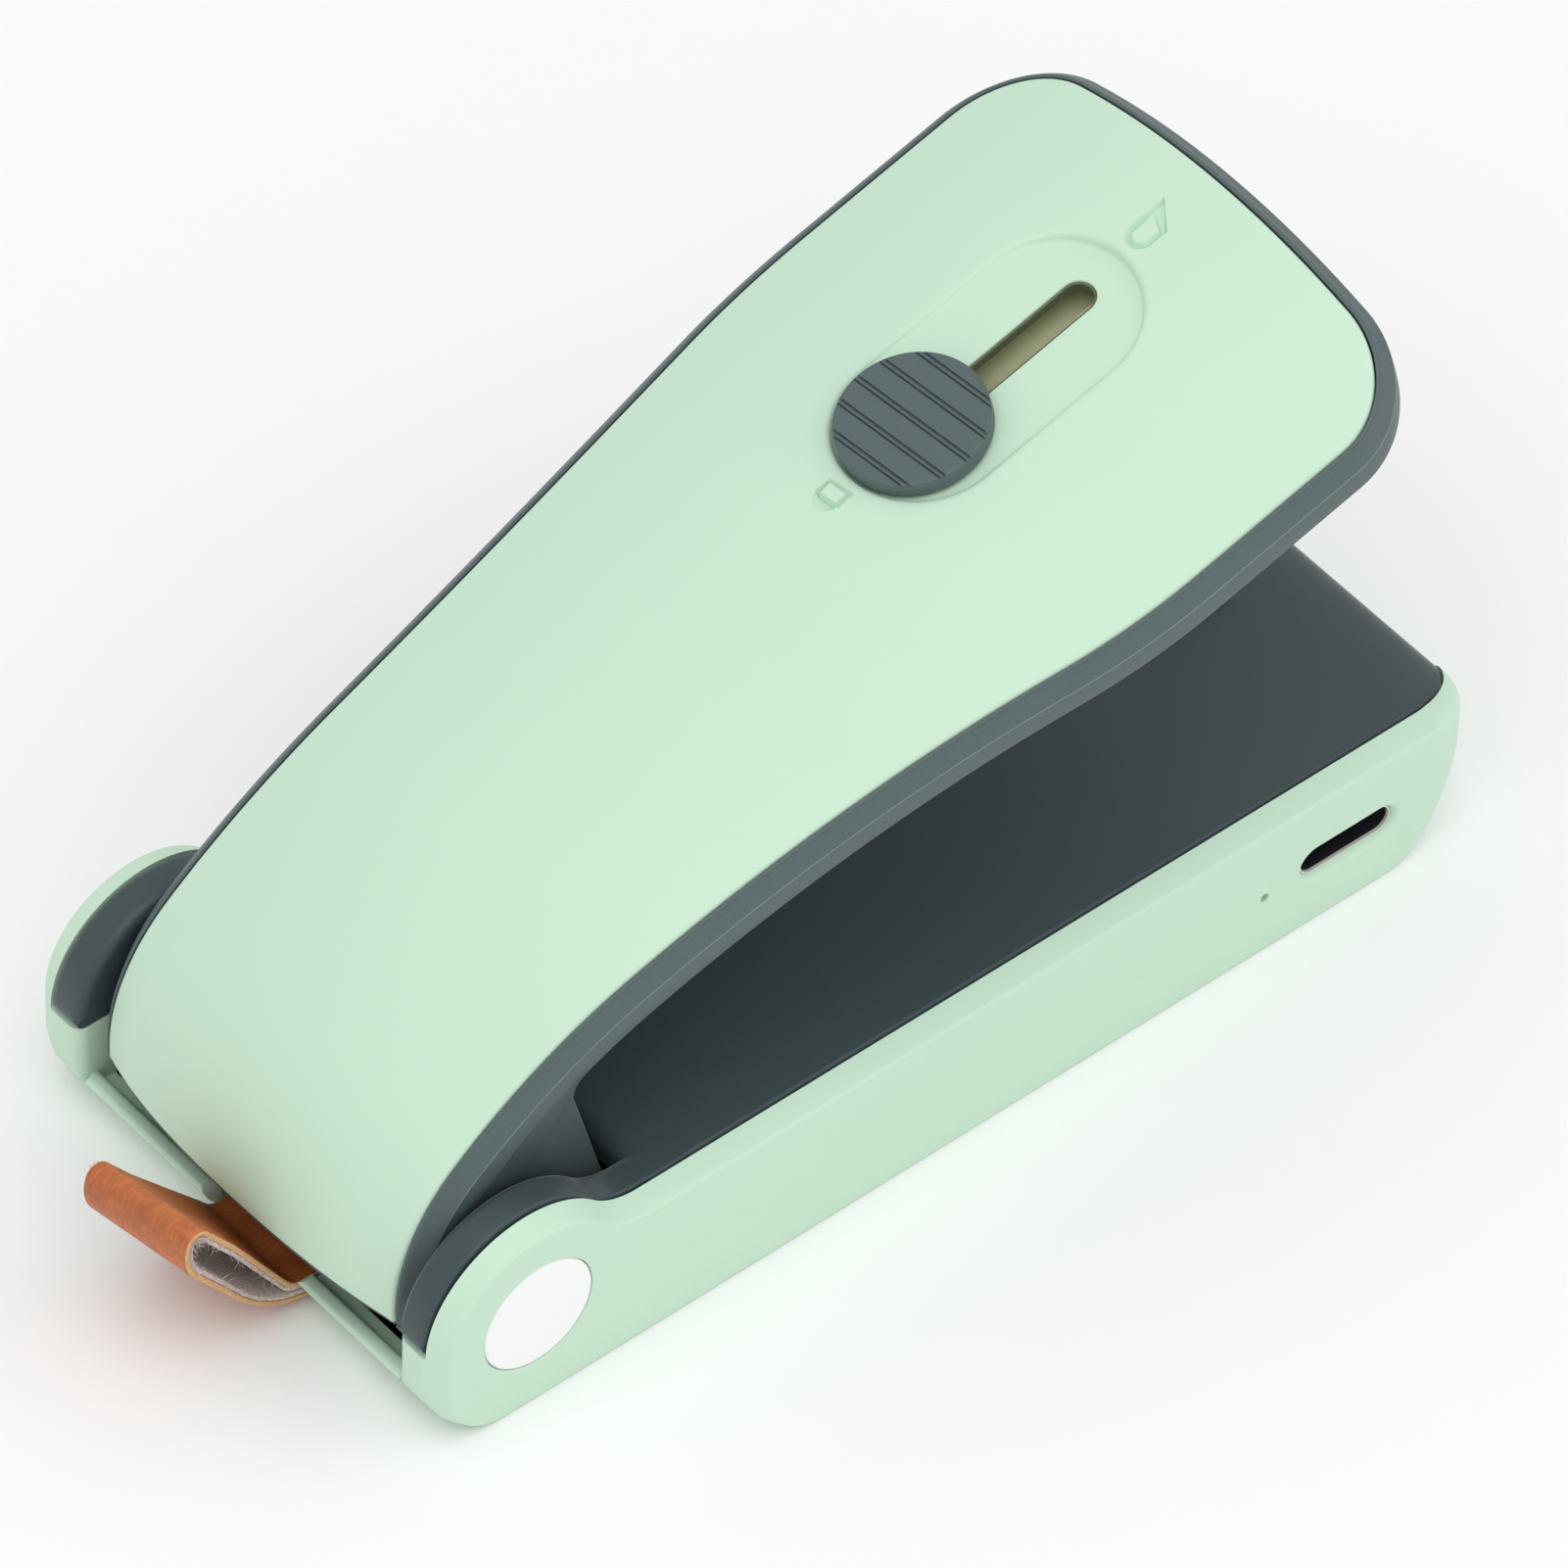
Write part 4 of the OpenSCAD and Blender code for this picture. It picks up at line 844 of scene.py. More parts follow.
def build_knuckle_cheek(side):
    """The knuckle's side, flush with the bezel: its front edge runs up into the bezel in a round."""
    arm, front = sizes().arm, sizes().base.knuckle_u
    form = ArmForm(arm)
    bend_r, lap, fit = 2.2 * MM, 0.3 * MM, 0.01 * MM
    # eased outer edge, in millimetres: distance behind the face, and how far the outline is drawn in there
    eased = ((2.3, 0), (0.1, 0), (0.03, 0.04), (0, 0.12))
    s = np.linspace(-2 * MM, form.s_mid + arm.back_r * arm.back_a, 400)
    c, a = form.crest(s)
    down = np.stack([np.sin(a), -np.cos(a)], 1)
    edge = c + down * form.sag(form.edge_half_width(s))[:, None]
    rim = edge + down * arm.bezel_h
    inner = rim + down * bend_r
    k = int(np.argmin(np.abs(inner[:, 0] - (front + bend_r))))
    start = math.degrees(math.atan2(-down[k, 1], -down[k, 0]))
    bend = arc(inner[k], bend_r, 180, start, 12)
    rear = (rim - lap * down)[k:]
    foot = np.array([(-4.6, -2.6), (-3.0, -4.0), (0.0, -4.6), (4.0, -4.2), (front / MM, -3.5)]) * MM
    outline = np.concatenate([bend, rear, foot])
    flank = form.half_width(outline[:, 0]) + arm.bezel_w - fit
    free = np.concatenate([np.ones(len(bend)), np.zeros(len(rear)), np.ones(len(foot))])
    inward = inward_normals(outline) * free[:, None]
    rings = []
    for back, shrink in eased:
        flat = outline + inward * (shrink * MM)
        rings.append(form.to_frame(in_plane(Y, flat, side * (flank - back * MM))))
    return capped_tube(sided("knuckle", side), rings)


def build_knob():
    """The round knob with its double grooves."""
    arm, knob = sizes().arm, sizes().knob
    form = ArmForm(arm)
    clear, chamfer, over = 0.15 * MM, 0.25 * MM, 0.1 * MM
    # half widths of a groove at its mouth and its floor, and the width of the rear one of a pair, as shares
    mouth, floor, slim = 0.75, 0.3, 0.75
    low = arm.crest_h - arm.recess_d + clear
    top = low + knob.thickness
    turns = np.linspace(0, 2 * math.pi, 128, endpoint=False)
    circle = np.stack([np.cos(turns), np.sin(turns)], 1)
    bow = np.linspace(0, math.pi / 2, 7)
    profile = [(knob.radius - chamfer, low), (knob.radius, low + chamfer)]
    profile += [(knob.radius - knob.rim * (1 - math.cos(b)), top - knob.rim * (1 - math.sin(b))) for b in bow]
    profile.append((knob.radius * 0.5, top))
    rings = [in_plane(Z, [knob.place_u, 0] + r * circle, h) for r, h in profile]
    body = capped_tube("knob", [form.to_frame(r) for r in rings])
    c, s = math.cos(knob.groove_turn), math.sin(knob.groove_turn)
    reach = knob.radius * 1.1
    cutters = []
    for i in range(knob.pairs):
        for side in SIDES:
            place = (i - (knob.pairs - 1) / 2) * knob.groove_pitch + side * knob.groove_gap / 2
            width = knob.groove_w if side > 0 else slim * knob.groove_w
            wide, narrow = width * mouth, width * floor
            section = [(place - narrow, top - knob.groove_d), (place + narrow, top - knob.groove_d),
                       (place + wide, top + over), (place - wide, top + over)]
            ends = [np.array([(knob.place_u + a * c - y * s, y * c + a * s, h) for a, h in section])
                    for y in (-reach, reach)]
            cutters.append(capped_tube(f"groove_{i}_{side}", [form.to_frame(e) for e in ends]))
    return carve(body, cutters)


# The base's form


def rear_end():
    """Rear end of the base along X."""
    return joint("arm_hinge")["pos_m"][0] - sizes().base.ear_r


def ear_inside(base):
    """Half width between the two ears."""
    return base.half_w - base.ear_w


def deck_half_width(base):
    """Half width of the deck."""
    return base.half_w - base.cheek_t - base.seam


def deck_top(base):
    """Height of the deck's upper face."""
    return base.deck_z - base.deck_drop


def saddle_middle(base):
    """Middle of the arc between an ear and the deck, seen from the side."""
    hinge = joint("arm_hinge")["pos_m"]
    rise = base.deck_z + base.saddle_r - hinge[2]
    reach = math.sqrt((base.ear_r + base.saddle_r) ** 2 - rise ** 2)
    return np.array([hinge[0] + reach, base.deck_z + base.saddle_r])


def rolled_edge(base, top, steps):
    """Line of the rolled front edge from its front up to a top level, and its outward directions."""
    turns = np.linspace(0, math.pi / 2, steps + 1)
    power = 2 / base.roll_power
    cos_t, sin_t = np.cos(turns), np.sin(turns)
    points = np.stack([base.front_x - base.roll_l * (1 - cos_t ** power),
                       top - base.roll_h * (1 - sin_t ** power)], 1)
    outward = np.stack([cos_t ** (2 - power) / base.roll_l, sin_t ** (2 - power) / base.roll_h], 1)
    return points, unit(outward)


def base_outline(base, inset=0.0):
    """The base's side outline drawn in by an inset: points, outward directions and end roundings."""
    hinge = joint("arm_hinge")["pos_m"]
    ear = np.array([hinge[0], hinge[2]])
    rear_x = rear_end()
    saddle = saddle_middle(base)
    touch = math.degrees(math.atan2(saddle[1] - ear[1], saddle[0] - ear[0]))
    prow = (base.front_x - base.prow_r, base.prow_r)
    roll = (base.front_x - base.roll_l, base.deck_z - base.roll_h)
    rear = (rear_x + base.rear_corner_r, base.rear_corner_r)
    top, face, foot = base.side_round, 0.02 * MM, base.foot_round
    parts = []

    def line(a, b, normal, rounding, steps):
        """Adds the points inside a straight line."""
        t = np.linspace(0, 1, steps + 1)[1:-1, None]
        points = np.array(a) + (np.array(b) - np.array(a)) * t
        parts.append((points, np.tile(normal, (len(points), 1)), np.full(len(points), rounding)))

    def bend(centre, radius, start, end, steps, first, last, hollow=False):
        """Adds an arc between two angles in degrees, with an end rounding that changes from first to last."""
        turns = np.radians(np.linspace(start, end, steps + 1))
        radial = np.stack([np.cos(turns), np.sin(turns)], 1)
        outward = unit(radial / radius)
        rounding = first + (last - first) * smoothstep(np.linspace(0, 1, steps + 1))
        parts.append((np.array(centre) + radius * radial, -outward if hollow else outward, rounding))

    line((rear[0], 0), (prow[0], 0), (0, -1), foot, 20)
    bend(prow, base.prow_r, -90, 0, 32, foot, face)
    line((base.front_x, prow[1]), (base.front_x, roll[1]), (1, 0), face, 2)
    edge, outward = rolled_edge(base, base.deck_z, 28)
    parts.append((edge, outward, face + (top - face) * smoothstep(np.linspace(0, 1, len(edge)))))
    line((roll[0], base.deck_z), (saddle[0], base.deck_z), (0, 1), top, 24)
    bend(saddle, base.saddle_r, -90, touch - 180, 14, top, top, hollow=True)
    bend(ear, base.ear_r, touch, 180, 48, top, top)
    line((rear_x, ear[1]), (rear_x, rear[1]), (-1, 0), top, 3)
    bend(rear, base.rear_corner_r, 180, 270, 24, top, foot)
    points, normals, rounding = (np.concatenate(p) for p in zip(*parts))
    return points - normals * inset, normals, rounding


def deck_plan(base, grow=0.0):
    """Plan outline of the deck's front, from one side round to the other, grown by a margin."""
    centre = (base.front_x - base.deck_corner_l, deck_half_width(base) - base.deck_corner_w)
    turns = np.linspace(0, math.pi / 2, 25)
    corner = np.stack([centre[0] + (base.deck_corner_l + 0.25 * grow) * np.cos(turns),
                       centre[1] + (base.deck_corner_w + grow) * np.sin(turns)], 1)
    return np.concatenate([corner[::-1] * [1, -1], corner])


def rear_wall_cutter(base):
    """What is cut away above the low rear wall, between the ears."""
    wall_x = rear_end() + 0.42 * MM
    saddle_x = saddle_middle(base)[0]
    soft = WALL_ROUND
    inner_x, inner_z = wall_x + base.floor_t, base.lip_h - 2 * soft
    outline = np.concatenate([
        [(-BIG, base.lip_h - soft)], arc((wall_x + soft, base.lip_h - soft), soft, 180, 90, 8),
        arc((inner_x - soft, base.lip_h - soft), soft, 90, 0, 8),
        [(inner_x, inner_z), (saddle_x, inner_z), (saddle_x, BIG), (-BIG, BIG)]])
    return prism("above_rear_wall", Y, outline, -ear_inside(base), ear_inside(base))


def notch_cutters(base, loop):
    """The notch in the rear wall for the loop, and the pocket in the floor for its tail."""
    rear_x = rear_end()
    notch_l, pocket_from, pocket_l, pocket_z = 3.4 * MM, 3 * MM, 2.5 * MM, 0.3 * MM
    half_w = loop.width / 2 + loop.notch_gap
    shoulder = arc((half_w + loop.notch_r, base.lip_h - loop.notch_r), loop.notch_r, 180, 90, 8)
    half = np.concatenate([[(half_w, -BIG)], shoulder, [(half_w + loop.notch_r, BIG)]])
    outline = np.concatenate([half, half[::-1] * [-1, 1]]) + [loop.middle_y, 0]
    pocket_end = rear_x + base.rear_corner_r + pocket_l
    return [
        prism("notch", X, outline, -BIG, rear_x + notch_l),
        box_between("tail_pocket", (rear_x + pocket_from, loop.middle_y - half_w, pocket_z),
                    (pocket_end, loop.middle_y + half_w, base.lip_h)),
    ]


def ear_edge_cutter(base, side):
    """What rounds an ear's inner rear edge above the rear wall."""
    ease, over = 1.2 * MM, 0.2 * MM
    rear_x, ear_in = rear_end(), ear_inside(base)
    round_x, round_y = rear_x + ease, side * (ear_in + ease)
    edge = arc((round_x, round_y), ease, -90 * side, -180 * side, 8)
    inner_y = side * (ear_in - over)
    outside = [(rear_x - MM, round_y), (rear_x - MM, inner_y), (round_x, inner_y)]
    return prism(f"ear_edge_{side}", Z, np.concatenate([edge, outside]), base.lip_h - WALL_ROUND, BIG)


def cap_seat(base, side):
    """The seat of a hinge cap, a little wider at its mouth."""
    hinge = joint("arm_hinge")["pos_m"]
    mouth_r, seat_r, step = base.cap_r + 0.14 * MM, base.cap_r + 0.06 * MM, 0.1 * MM
    profile = [(mouth_r, side * (base.half_w + MM)), (mouth_r, side * base.half_w),
               (seat_r, side * (base.half_w - step)), (seat_r, side * (base.half_w - base.cap_t - step))]
    return lathe_y(f"cap_seat_{side}", profile, hinge[0], hinge[2])


def build_base_shell():
    """The shell with both ears, lofted across and then hollowed and cut."""
    base = sizes().base
    hinge = joint("arm_hinge")["pos_m"]
    points, normals, rounding = base_outline(base)
    corner = FrontCorner(base.front_x, base.half_w, base.front_corner_l, base.front_corner_w)
    shell = loft_y("shell", points, normals, -base.half_w, base.half_w, rounding, rounding, 20, corner,
                   crowned_inset)
    bearing_x = hinge[0] + 7 * MM
    inner_y = base.half_w - base.cheek_t
    ear_in = ear_inside(base)
    groove_y = deck_half_width(base) + base.deck_gap
    plan = np.concatenate([deck_plan(base, base.deck_gap), [(bearing_x, groove_y), (bearing_x, -groove_y)]])
    cavity = prism("cavity", Y, base_outline(base, base.floor_t)[0], -inner_y, inner_y)
    carve(cavity, [box_between("keep_ears_low", (-BIG, ear_in, -BIG), (bearing_x, BIG, BIG)),
                   box_between("keep_ears_high", (-BIG, -BIG, -BIG), (bearing_x, -ear_in, BIG))])
    light = [(base.light_r, -base.half_w - MM), (base.light_r, -inner_y + MM)]
    return carve(shell, [
        cavity,
        rear_wall_cutter(base),
        box_between("above_bearings", (-BIG, -groove_y, hinge[2]), (saddle_middle(base)[0], groove_y, BIG)),
        prism("under_deck", Z, plan, deck_top(base) - base.roll_h - base.seam, BIG),
        *notch_cutters(base, sizes().loop),
        port_cutter(base),
        *[ear_edge_cutter(base, side) for side in SIDES],
        lathe_y("light_hole", light, base.light_x, base.socket_z - LIGHT_DROP, 32),
        *[cap_seat(base, side) for side in SIDES],
    ])


def port_cutter(base):
    """The charging cut-out, with a soft rim that draws in from the outside."""
    # in millimetres
    rim_w, rim_d, over = 1.4, 0.8, 1.0
    turns = np.linspace(0, math.pi / 2, 9)
    places = [(rim_w, -over)]
    places += [(rim_w * (1 - math.sin(t)), rim_d * (1 - math.cos(t))) for t in turns]
    places.append((0.0, base.cheek_t / MM + over))
    rings = []
    for grow, depth in places:
        rim = stadium(base.socket_x, base.socket_z, base.socket_w + grow * MM, base.socket_h + grow * MM)
        rings.append(in_plane(Y, rim, -base.half_w + depth * MM))
    return capped_tube("port", rings)


def build_socket():
    """The charging socket: a thin metal mouth, and in it a tongue and a lining painted near-black as the socket's
    shade.
    """
    base = sizes().base
    set_back, gap, wall = 0.55 * MM, 0.06 * MM, 0.3 * MM
    front, back = -base.half_w + set_back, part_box("usb_socket")[1].y
    w, h = base.socket_w - gap, base.socket_h - gap

    def block(name, width, height, start, end):
        """A round-ended block in the socket's middle."""
        return prism(name, Y, stadium(base.socket_x, base.socket_z, width, height), start, end)

    mouth = block("socket_mouth", w, h, front, back)
    carve(mouth, [block("socket_bore", w - wall, h - wall, front - MM, back - MM)])
    tongue = block("socket_tongue", 6.6 * MM, 0.7 * MM, front + 1.1 * MM, back - 0.5 * MM)
    liner = block("socket_liner", w - wall - gap, h - wall - gap, front + 0.25 * MM, back - 1.1 * MM)
    carve(liner, [block("socket_well", w - 2 * wall, h - 1.6 * wall, front, back - 2 * MM)])
    return mouth, tongue, liner


def build_light():
    """The light's small guide, set back in its pin hole."""
    base = sizes().base
    face = -base.half_w + 0.5 * MM
    end = -base.half_w + base.cheek_t + 0.9 * MM
    r = base.light_r * 0.94
    profile = [(r * 0.4, face), (r * 0.8, face + 0.06 * MM), (r, face + 0.2 * MM), (r, end)]
    return lathe_y("light_guide", profile, base.light_x, base.socket_z - LIGHT_DROP, 32)


def build_deck():
    """The dark deck: a plate with a rolled front edge and round corners, and a ridge inside each ear."""
    base = sizes().base
    half_w, top = deck_half_width(base), deck_top(base)
    under = top - base.deck_t
    well_x, ear_in = well_edge(), ear_inside(base)
    rear_r, edge_r, lip_t, step = base.deck_rear_r, 0.45 * MM, 1.6 * MM, 0.5 * MM
    flat_x = np.linspace(well_x + 3 * MM, base.front_x - base.roll_l - 3 * MM, 16)
    outline = np.concatenate([
        [(well_x, under)], arc((well_x + rear_r, top - rear_r), rear_r, 180, 90, 10),
        in_plane(1, flat_x[:, None], top), rolled_edge(base, top, 24)[0][::-1],
        [(base.front_x - lip_t, top - base.roll_h), (base.front_x - lip_t - step, under)]])
    corner = FrontCorner(base.front_x, half_w, base.deck_corner_l, base.deck_corner_w)
    bow = 1 - np.sin(np.linspace(0, math.pi / 2, 9))
    stations = np.concatenate([corner.stations, half_w - edge_r * bow, -half_w + edge_r * bow])
    rings = []
    for y in np.unique(np.round(stations, 8)):
        drop = round_inset(half_w - abs(y), edge_r)
        z = np.where(outline[:, 1] > under + step, outline[:, 1] - drop, outline[:, 1])
        rings.append(np.stack([corner.trimmed(outline[:, 0], y), np.full(len(z), y), z], 1))
    deck = capped_tube("deck", rings)
    wall_t, lap, wall_low = 1.2 * MM, 0.2 * MM, base.floor_t + 0.1 * MM
    wall = box_between("well_wall", (well_x + 0.02 * MM, -ear_in - MM, wall_low),
                       (well_x + wall_t, ear_in + MM, under + lap))
    carve(deck, [*[ridge(side) for side in SIDES], wall], "UNION")
    low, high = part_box("heater_film")
    gap = 0.2 * MM
    return carve(deck, [box_between("head_hole", (low.x - gap, low.y - gap, 0), (high.x + gap, high.y + gap, BIG))])


def well_edge():
    """Rear edge of the deck's plate, which the closed arm's knuckle clears."""
    base = sizes().base
    form = ArmForm(sizes().arm)
    lean = math.radians(joint("arm_hinge")["range_deg"][1]) - form.tilt
    rise = deck_top(base) - form.hinge[1]
    return form.hinge[0] + base.knuckle_u * math.cos(lean) + rise * math.sin(lean) + base.knuckle_gap


def crest_keep(crest, level):
    """Which points of a ridge's crest stay in front of its rounded toe."""
    behind = crest[:, 0] < crest[:, 0].min() + 2 * MM
    return ~(behind & (crest[:, 1] < level))


def ridge(side):
    """The dark ridge inside an ear, which runs down into the deck."""
    base = sizes().base
    hinge = joint("arm_hinge")["pos_m"]
    points, normals, _ = base_outline(base)
    low_z = hinge[2] + 0.2 * MM
    plate_z = deck_top(base) - base.deck_t + 0.1 * MM
    end_x, reach_x = well_edge() + 4 * MM, hinge[0] + 8 * MM
    end_r, inner_r, outer_r, fall_l = 0.8 * MM, 0.9 * MM, 0.35 * MM, 6 * MM
    saddle_x = saddle_middle(base)[0]
    drop = base.deck_drop * smoothstep((points[:, 0] - saddle_x + fall_l) / (end_x - saddle_x + fall_l))
    points = points - normals * drop[:, None]
    keep = (points[:, 1] > low_z) & (points[:, 0] < end_x)
    crest, lean = points[keep], normals[keep]
    first = np.argmax(crest[:, 0])
    crest, lean = np.roll(crest, -first, 0), np.roll(lean, -first, 0)
    toe = arc((crest[-1, 0] + end_r, low_z + end_r), end_r, 190, 270, 6)
    keep = crest_keep(crest, low_z + end_r)
    crest, lean = crest[keep], lean[keep]
    foot = np.array([*toe, (reach_x, low_z), (reach_x, plate_z), (end_x, plate_z), (end_x, crest[0, 1])])
    outline = np.concatenate([crest, foot])
    direction = np.concatenate([lean, np.zeros((len(foot), 2))])
    inner, outer = np.full(len(outline), inner_r), np.full(len(outline), outer_r)
    ear_in, wall = ear_inside(base), deck_half_width(base)
    span = (ear_in, wall, inner, outer) if side > 0 else (-wall, -ear_in, outer, inner)
    return loft_y(sided("ridge", side), outline, direction, *span, 8)


def build_cap(side):
    """A white hinge cap with an eased edge."""
    base = sizes().base
    hinge = joint("arm_hinge")["pos_m"]
    set_in, ease_r, ease_d = 0.02 * MM, 0.3 * MM, 0.25 * MM
    face = side * (base.half_w - set_in)
    profile = [(base.cap_r, side * (base.half_w - base.cap_t))]
    for turn in np.linspace(0, math.pi / 2, 7):
        r = base.cap_r - ease_r * (1 - math.cos(turn))
        profile.append((r, face - side * ease_d * (1 - math.sin(turn))))
    profile.append((base.cap_r * 0.6, face))
    return lathe_y(sided("cap", side), profile, hinge[0], hinge[2])


# The leather loop


def loop_path(loop):
    """Side line of the loop's outer face, from its tail out along the lower layer and back in under the arm."""
    base = sizes().base
    rear_x = rear_end()
    # where the upper layer leaves the wall, how high the tail lies, and where both ends stop inside
    leave = np.array([rear_x + 1.3 * MM, 2.2 * MM])
    tail_z = 0.4 * MM
    tail = np.array([[rear_x + base.rear_corner_r + 2.3 * MM, tail_z]])
    level_z = base.floor_t + loop.leather_t + loop.felt_t + 0.1 * MM
    end = np.array([[rear_x + 6.3 * MM, level_z]])
    cos_s, sin_s = math.cos(loop.slope), math.sin(loop.slope)
    along, across = np.array([-cos_s, sin_s]), np.array([-sin_s, -cos_s])
    slope = math.degrees(loop.slope)
    meet = math.cos(loop.belly_turn)
    depth = loop.belly_r * (1 - meet) + loop.fold_r * (1 + meet)
    start = (tail_z - leave[1] + depth * cos_s + loop.bend_r * (1 - cos_s)) / sin_s
    bend_c = leave + start * along + (depth - loop.bend_r) * across
    bend = arc(bend_c, loop.bend_r, 270, 270 - slope, 16)
    fold_c = leave + loop.straight_l * along + loop.fold_r * across
    meet_at = 270 - slope - math.degrees(loop.belly_turn)
    meet_way = np.array([math.cos(math.radians(meet_at)), math.sin(math.radians(meet_at))])
    belly_c = fold_c - (loop.belly_r - loop.fold_r) * meet_way
    belly = arc(belly_c, loop.belly_r, 270 - slope, meet_at, 16)
    fold = arc(fold_c, loop.fold_r, meet_at, 90 - slope, 20)[1:]
    lower = between(bend[-1], belly[0], 10)
    reach = (level_z + loop.level_r * (1 - cos_s) - leave[1]) / sin_s
    level_c = np.array([leave[0] - reach * cos_s + loop.level_r * sin_s, level_z + loop.level_r])
    turn = arc(level_c, loop.level_r, 270 - slope, 270, 10)
    upper = between(fold[-1], turn[0], 24)
    return np.concatenate([tail, bend, lower, belly, fold, upper, turn, between(turn[-1], end[0], 4), end])


def between(a, b, steps):
    """Points inside a straight line."""
    return a + (b - a) * np.linspace(0, 1, steps + 2)[1:-1, None]


def pulled(loop, x, y, z):
    """A point of the loop after the loop's skew and its place across the base."""
    share = max(0.0, min(1.0, (rear_end() - x) / (6 * MM)))
    return x - math.tan(loop.skew) * y * share, loop.middle_y + y, z


def band(name, path, normals, outer, inner, half_w, loop, ease):
    """A strap along a side line between two depths, with eased long edges and the loop's skew."""
    middle = (outer + inner) / 2
    thick = abs(inner - outer) / 2
    # height, length per radian and start of the slow waves in the strap's width
    waves = ((0.06 * MM, 4.1 * MM, 0.0), (0.04 * MM, 1.7 * MM, 1.0))
    flat = np.linspace(half_w - ease, ease - half_w, 15)[1:-1]
    edge = [(half_w - ease + ease * math.sin(t), middle - thick * math.cos(t)) for t in np.linspace(0, math.pi, 9)]
    section = edge + [(y, inner) for y in flat]
    section += [(-y, 2 * middle - d) for y, d in edge] + [(-y, outer) for y in flat]
    run = np.concatenate([[0], np.cumsum(np.linalg.norm(np.diff(path, axis=0), axis=1))])
    rings = []
    for p, n, s in zip(path, normals, run):
        wave = sum(height * math.sin(s / reach + start) for height, reach, start in waves)
        ring = []
        for y, depth in section:
            x, z = p - n * depth
            ring.append(pulled(loop, x, y * (1 + wave / half_w), z))
        rings.append(np.array(ring))
    return capped_tube(name, rings)


def build_loop():
    """The folded leather loop with its raw edges, its felt lining and the felt's loose fibres."""
    loop = sizes().loop
    path = loop_path(loop)
    ahead = unit(np.gradient(path, axis=0))
    normals = np.stack([-ahead[:, 1], ahead[:, 0]], 1)
    leather = band("leather_loop", path, normals, 0, loop.leather_t, loop.width / 2, loop, 0.14 * MM)
    side_tilt = 0.55
    second_finish(leather, leather_finish(), raw_edge(), lambda face: abs(face.normal.y) > side_tilt)
    lap, inset = 0.03 * MM, 0.1 * MM
    felt = band("felt_lining", path, normals, loop.leather_t - lap, loop.leather_t + loop.felt_t,
                loop.width / 2 - inset, loop, 0.16 * MM)
    return leather, felt, build_fibres(path, normals, loop)


def build_fibres(path, normals, loop):
    """Loose fibres that stand out of the felt's two long edges."""
    draw = np.random.default_rng(FIBRE_SEED)
    outside = np.flatnonzero(path[:, 0] < rear_end())
    points, faces = [], []
    corners, joints = 3, 5
    root_y, fibre_r, taper = loop.width / 2 - 0.15 * MM, 0.028 * MM, 0.6
    for i in range(loop.fibres):
        k = int(draw.choice(outside))
        side = 1 if i % 2 else -1
        depth = loop.leather_t + loop.felt_t * draw.uniform(0.1, 1.0)
        x, z = path[k] - normals[k] * depth
        root = np.array(pulled(loop, x, side * root_y, z))
        lean = unit(np.array([0, side * 0.6, 0]) + draw.normal(0, 0.5, 3))
        curl = np.cross(lean, unit(draw.normal(0, 1, 3))) * draw.uniform(0.2, 0.9)
        reach = draw.uniform(0.3, 0.9) * MM
        first, second = frame_across(lean)
        for j in range(joints):
            share = j / (joints - 1)
            middle = root + reach * (lean * share + curl * share ** 2)
            r = fibre_r * (1 - taper * share)
            for c in range(corners):
                a = 2 * math.pi * c / corners
                points.append(middle + r * (first * math.cos(a) + second * math.sin(a)))
        start = i * corners * joints
        faces += [tuple(start + v for v in f) for f in ring_faces(corners, joints, closed=False)]
        faces += [tuple(start + c for c in range(corners)),
                  tuple(start + (joints - 1) * corners + c for c in range(corners))]
    return new_object("felt_fibres", points, faces)


def frame_across(direction):
    """Two directions square to one another and to the given one."""
    other = np.array([1.0, 0, 0]) if abs(direction[0]) < 0.7 else np.array([0, 0, 1.0])
    first = unit(np.cross(direction, other))
    return first, np.cross(direction, first)


# Finishes


def node_group(name, inputs, outputs):
    """An empty shader node group with named sockets."""
    group = bpy.data.node_groups.new(name, "ShaderNodeTree")
    for socket, kind, value in inputs:
        made = group.interface.new_socket(name=socket, in_out="INPUT", socket_type=kind)
        made.default_value = value
    for socket, kind in outputs:
        group.interface.new_socket(name=socket, in_out="OUTPUT", socket_type=kind)
    return group, group.nodes.new("NodeGroupInput"), group.nodes.new("NodeGroupOutput")


def set_inputs(node, **values):
    """Sets the values of a node's inputs; an underscore stands for a space in a name."""
    for name, value in values.items():
        node.inputs[name.replace("_", " ")].default_value = value


def texture(tree, kind, vector=None, **values):
    """A texture node with its input values, on object coordinates where no other vector is given."""
    node = tree.nodes.new("ShaderNodeTex" + kind)
    if vector is None:
        vector = tree.nodes.new("ShaderNodeTexCoord").outputs["Object"]
    tree.links.new(vector, node.inputs["Vector"])
    set_inputs(node, **values)
    return node


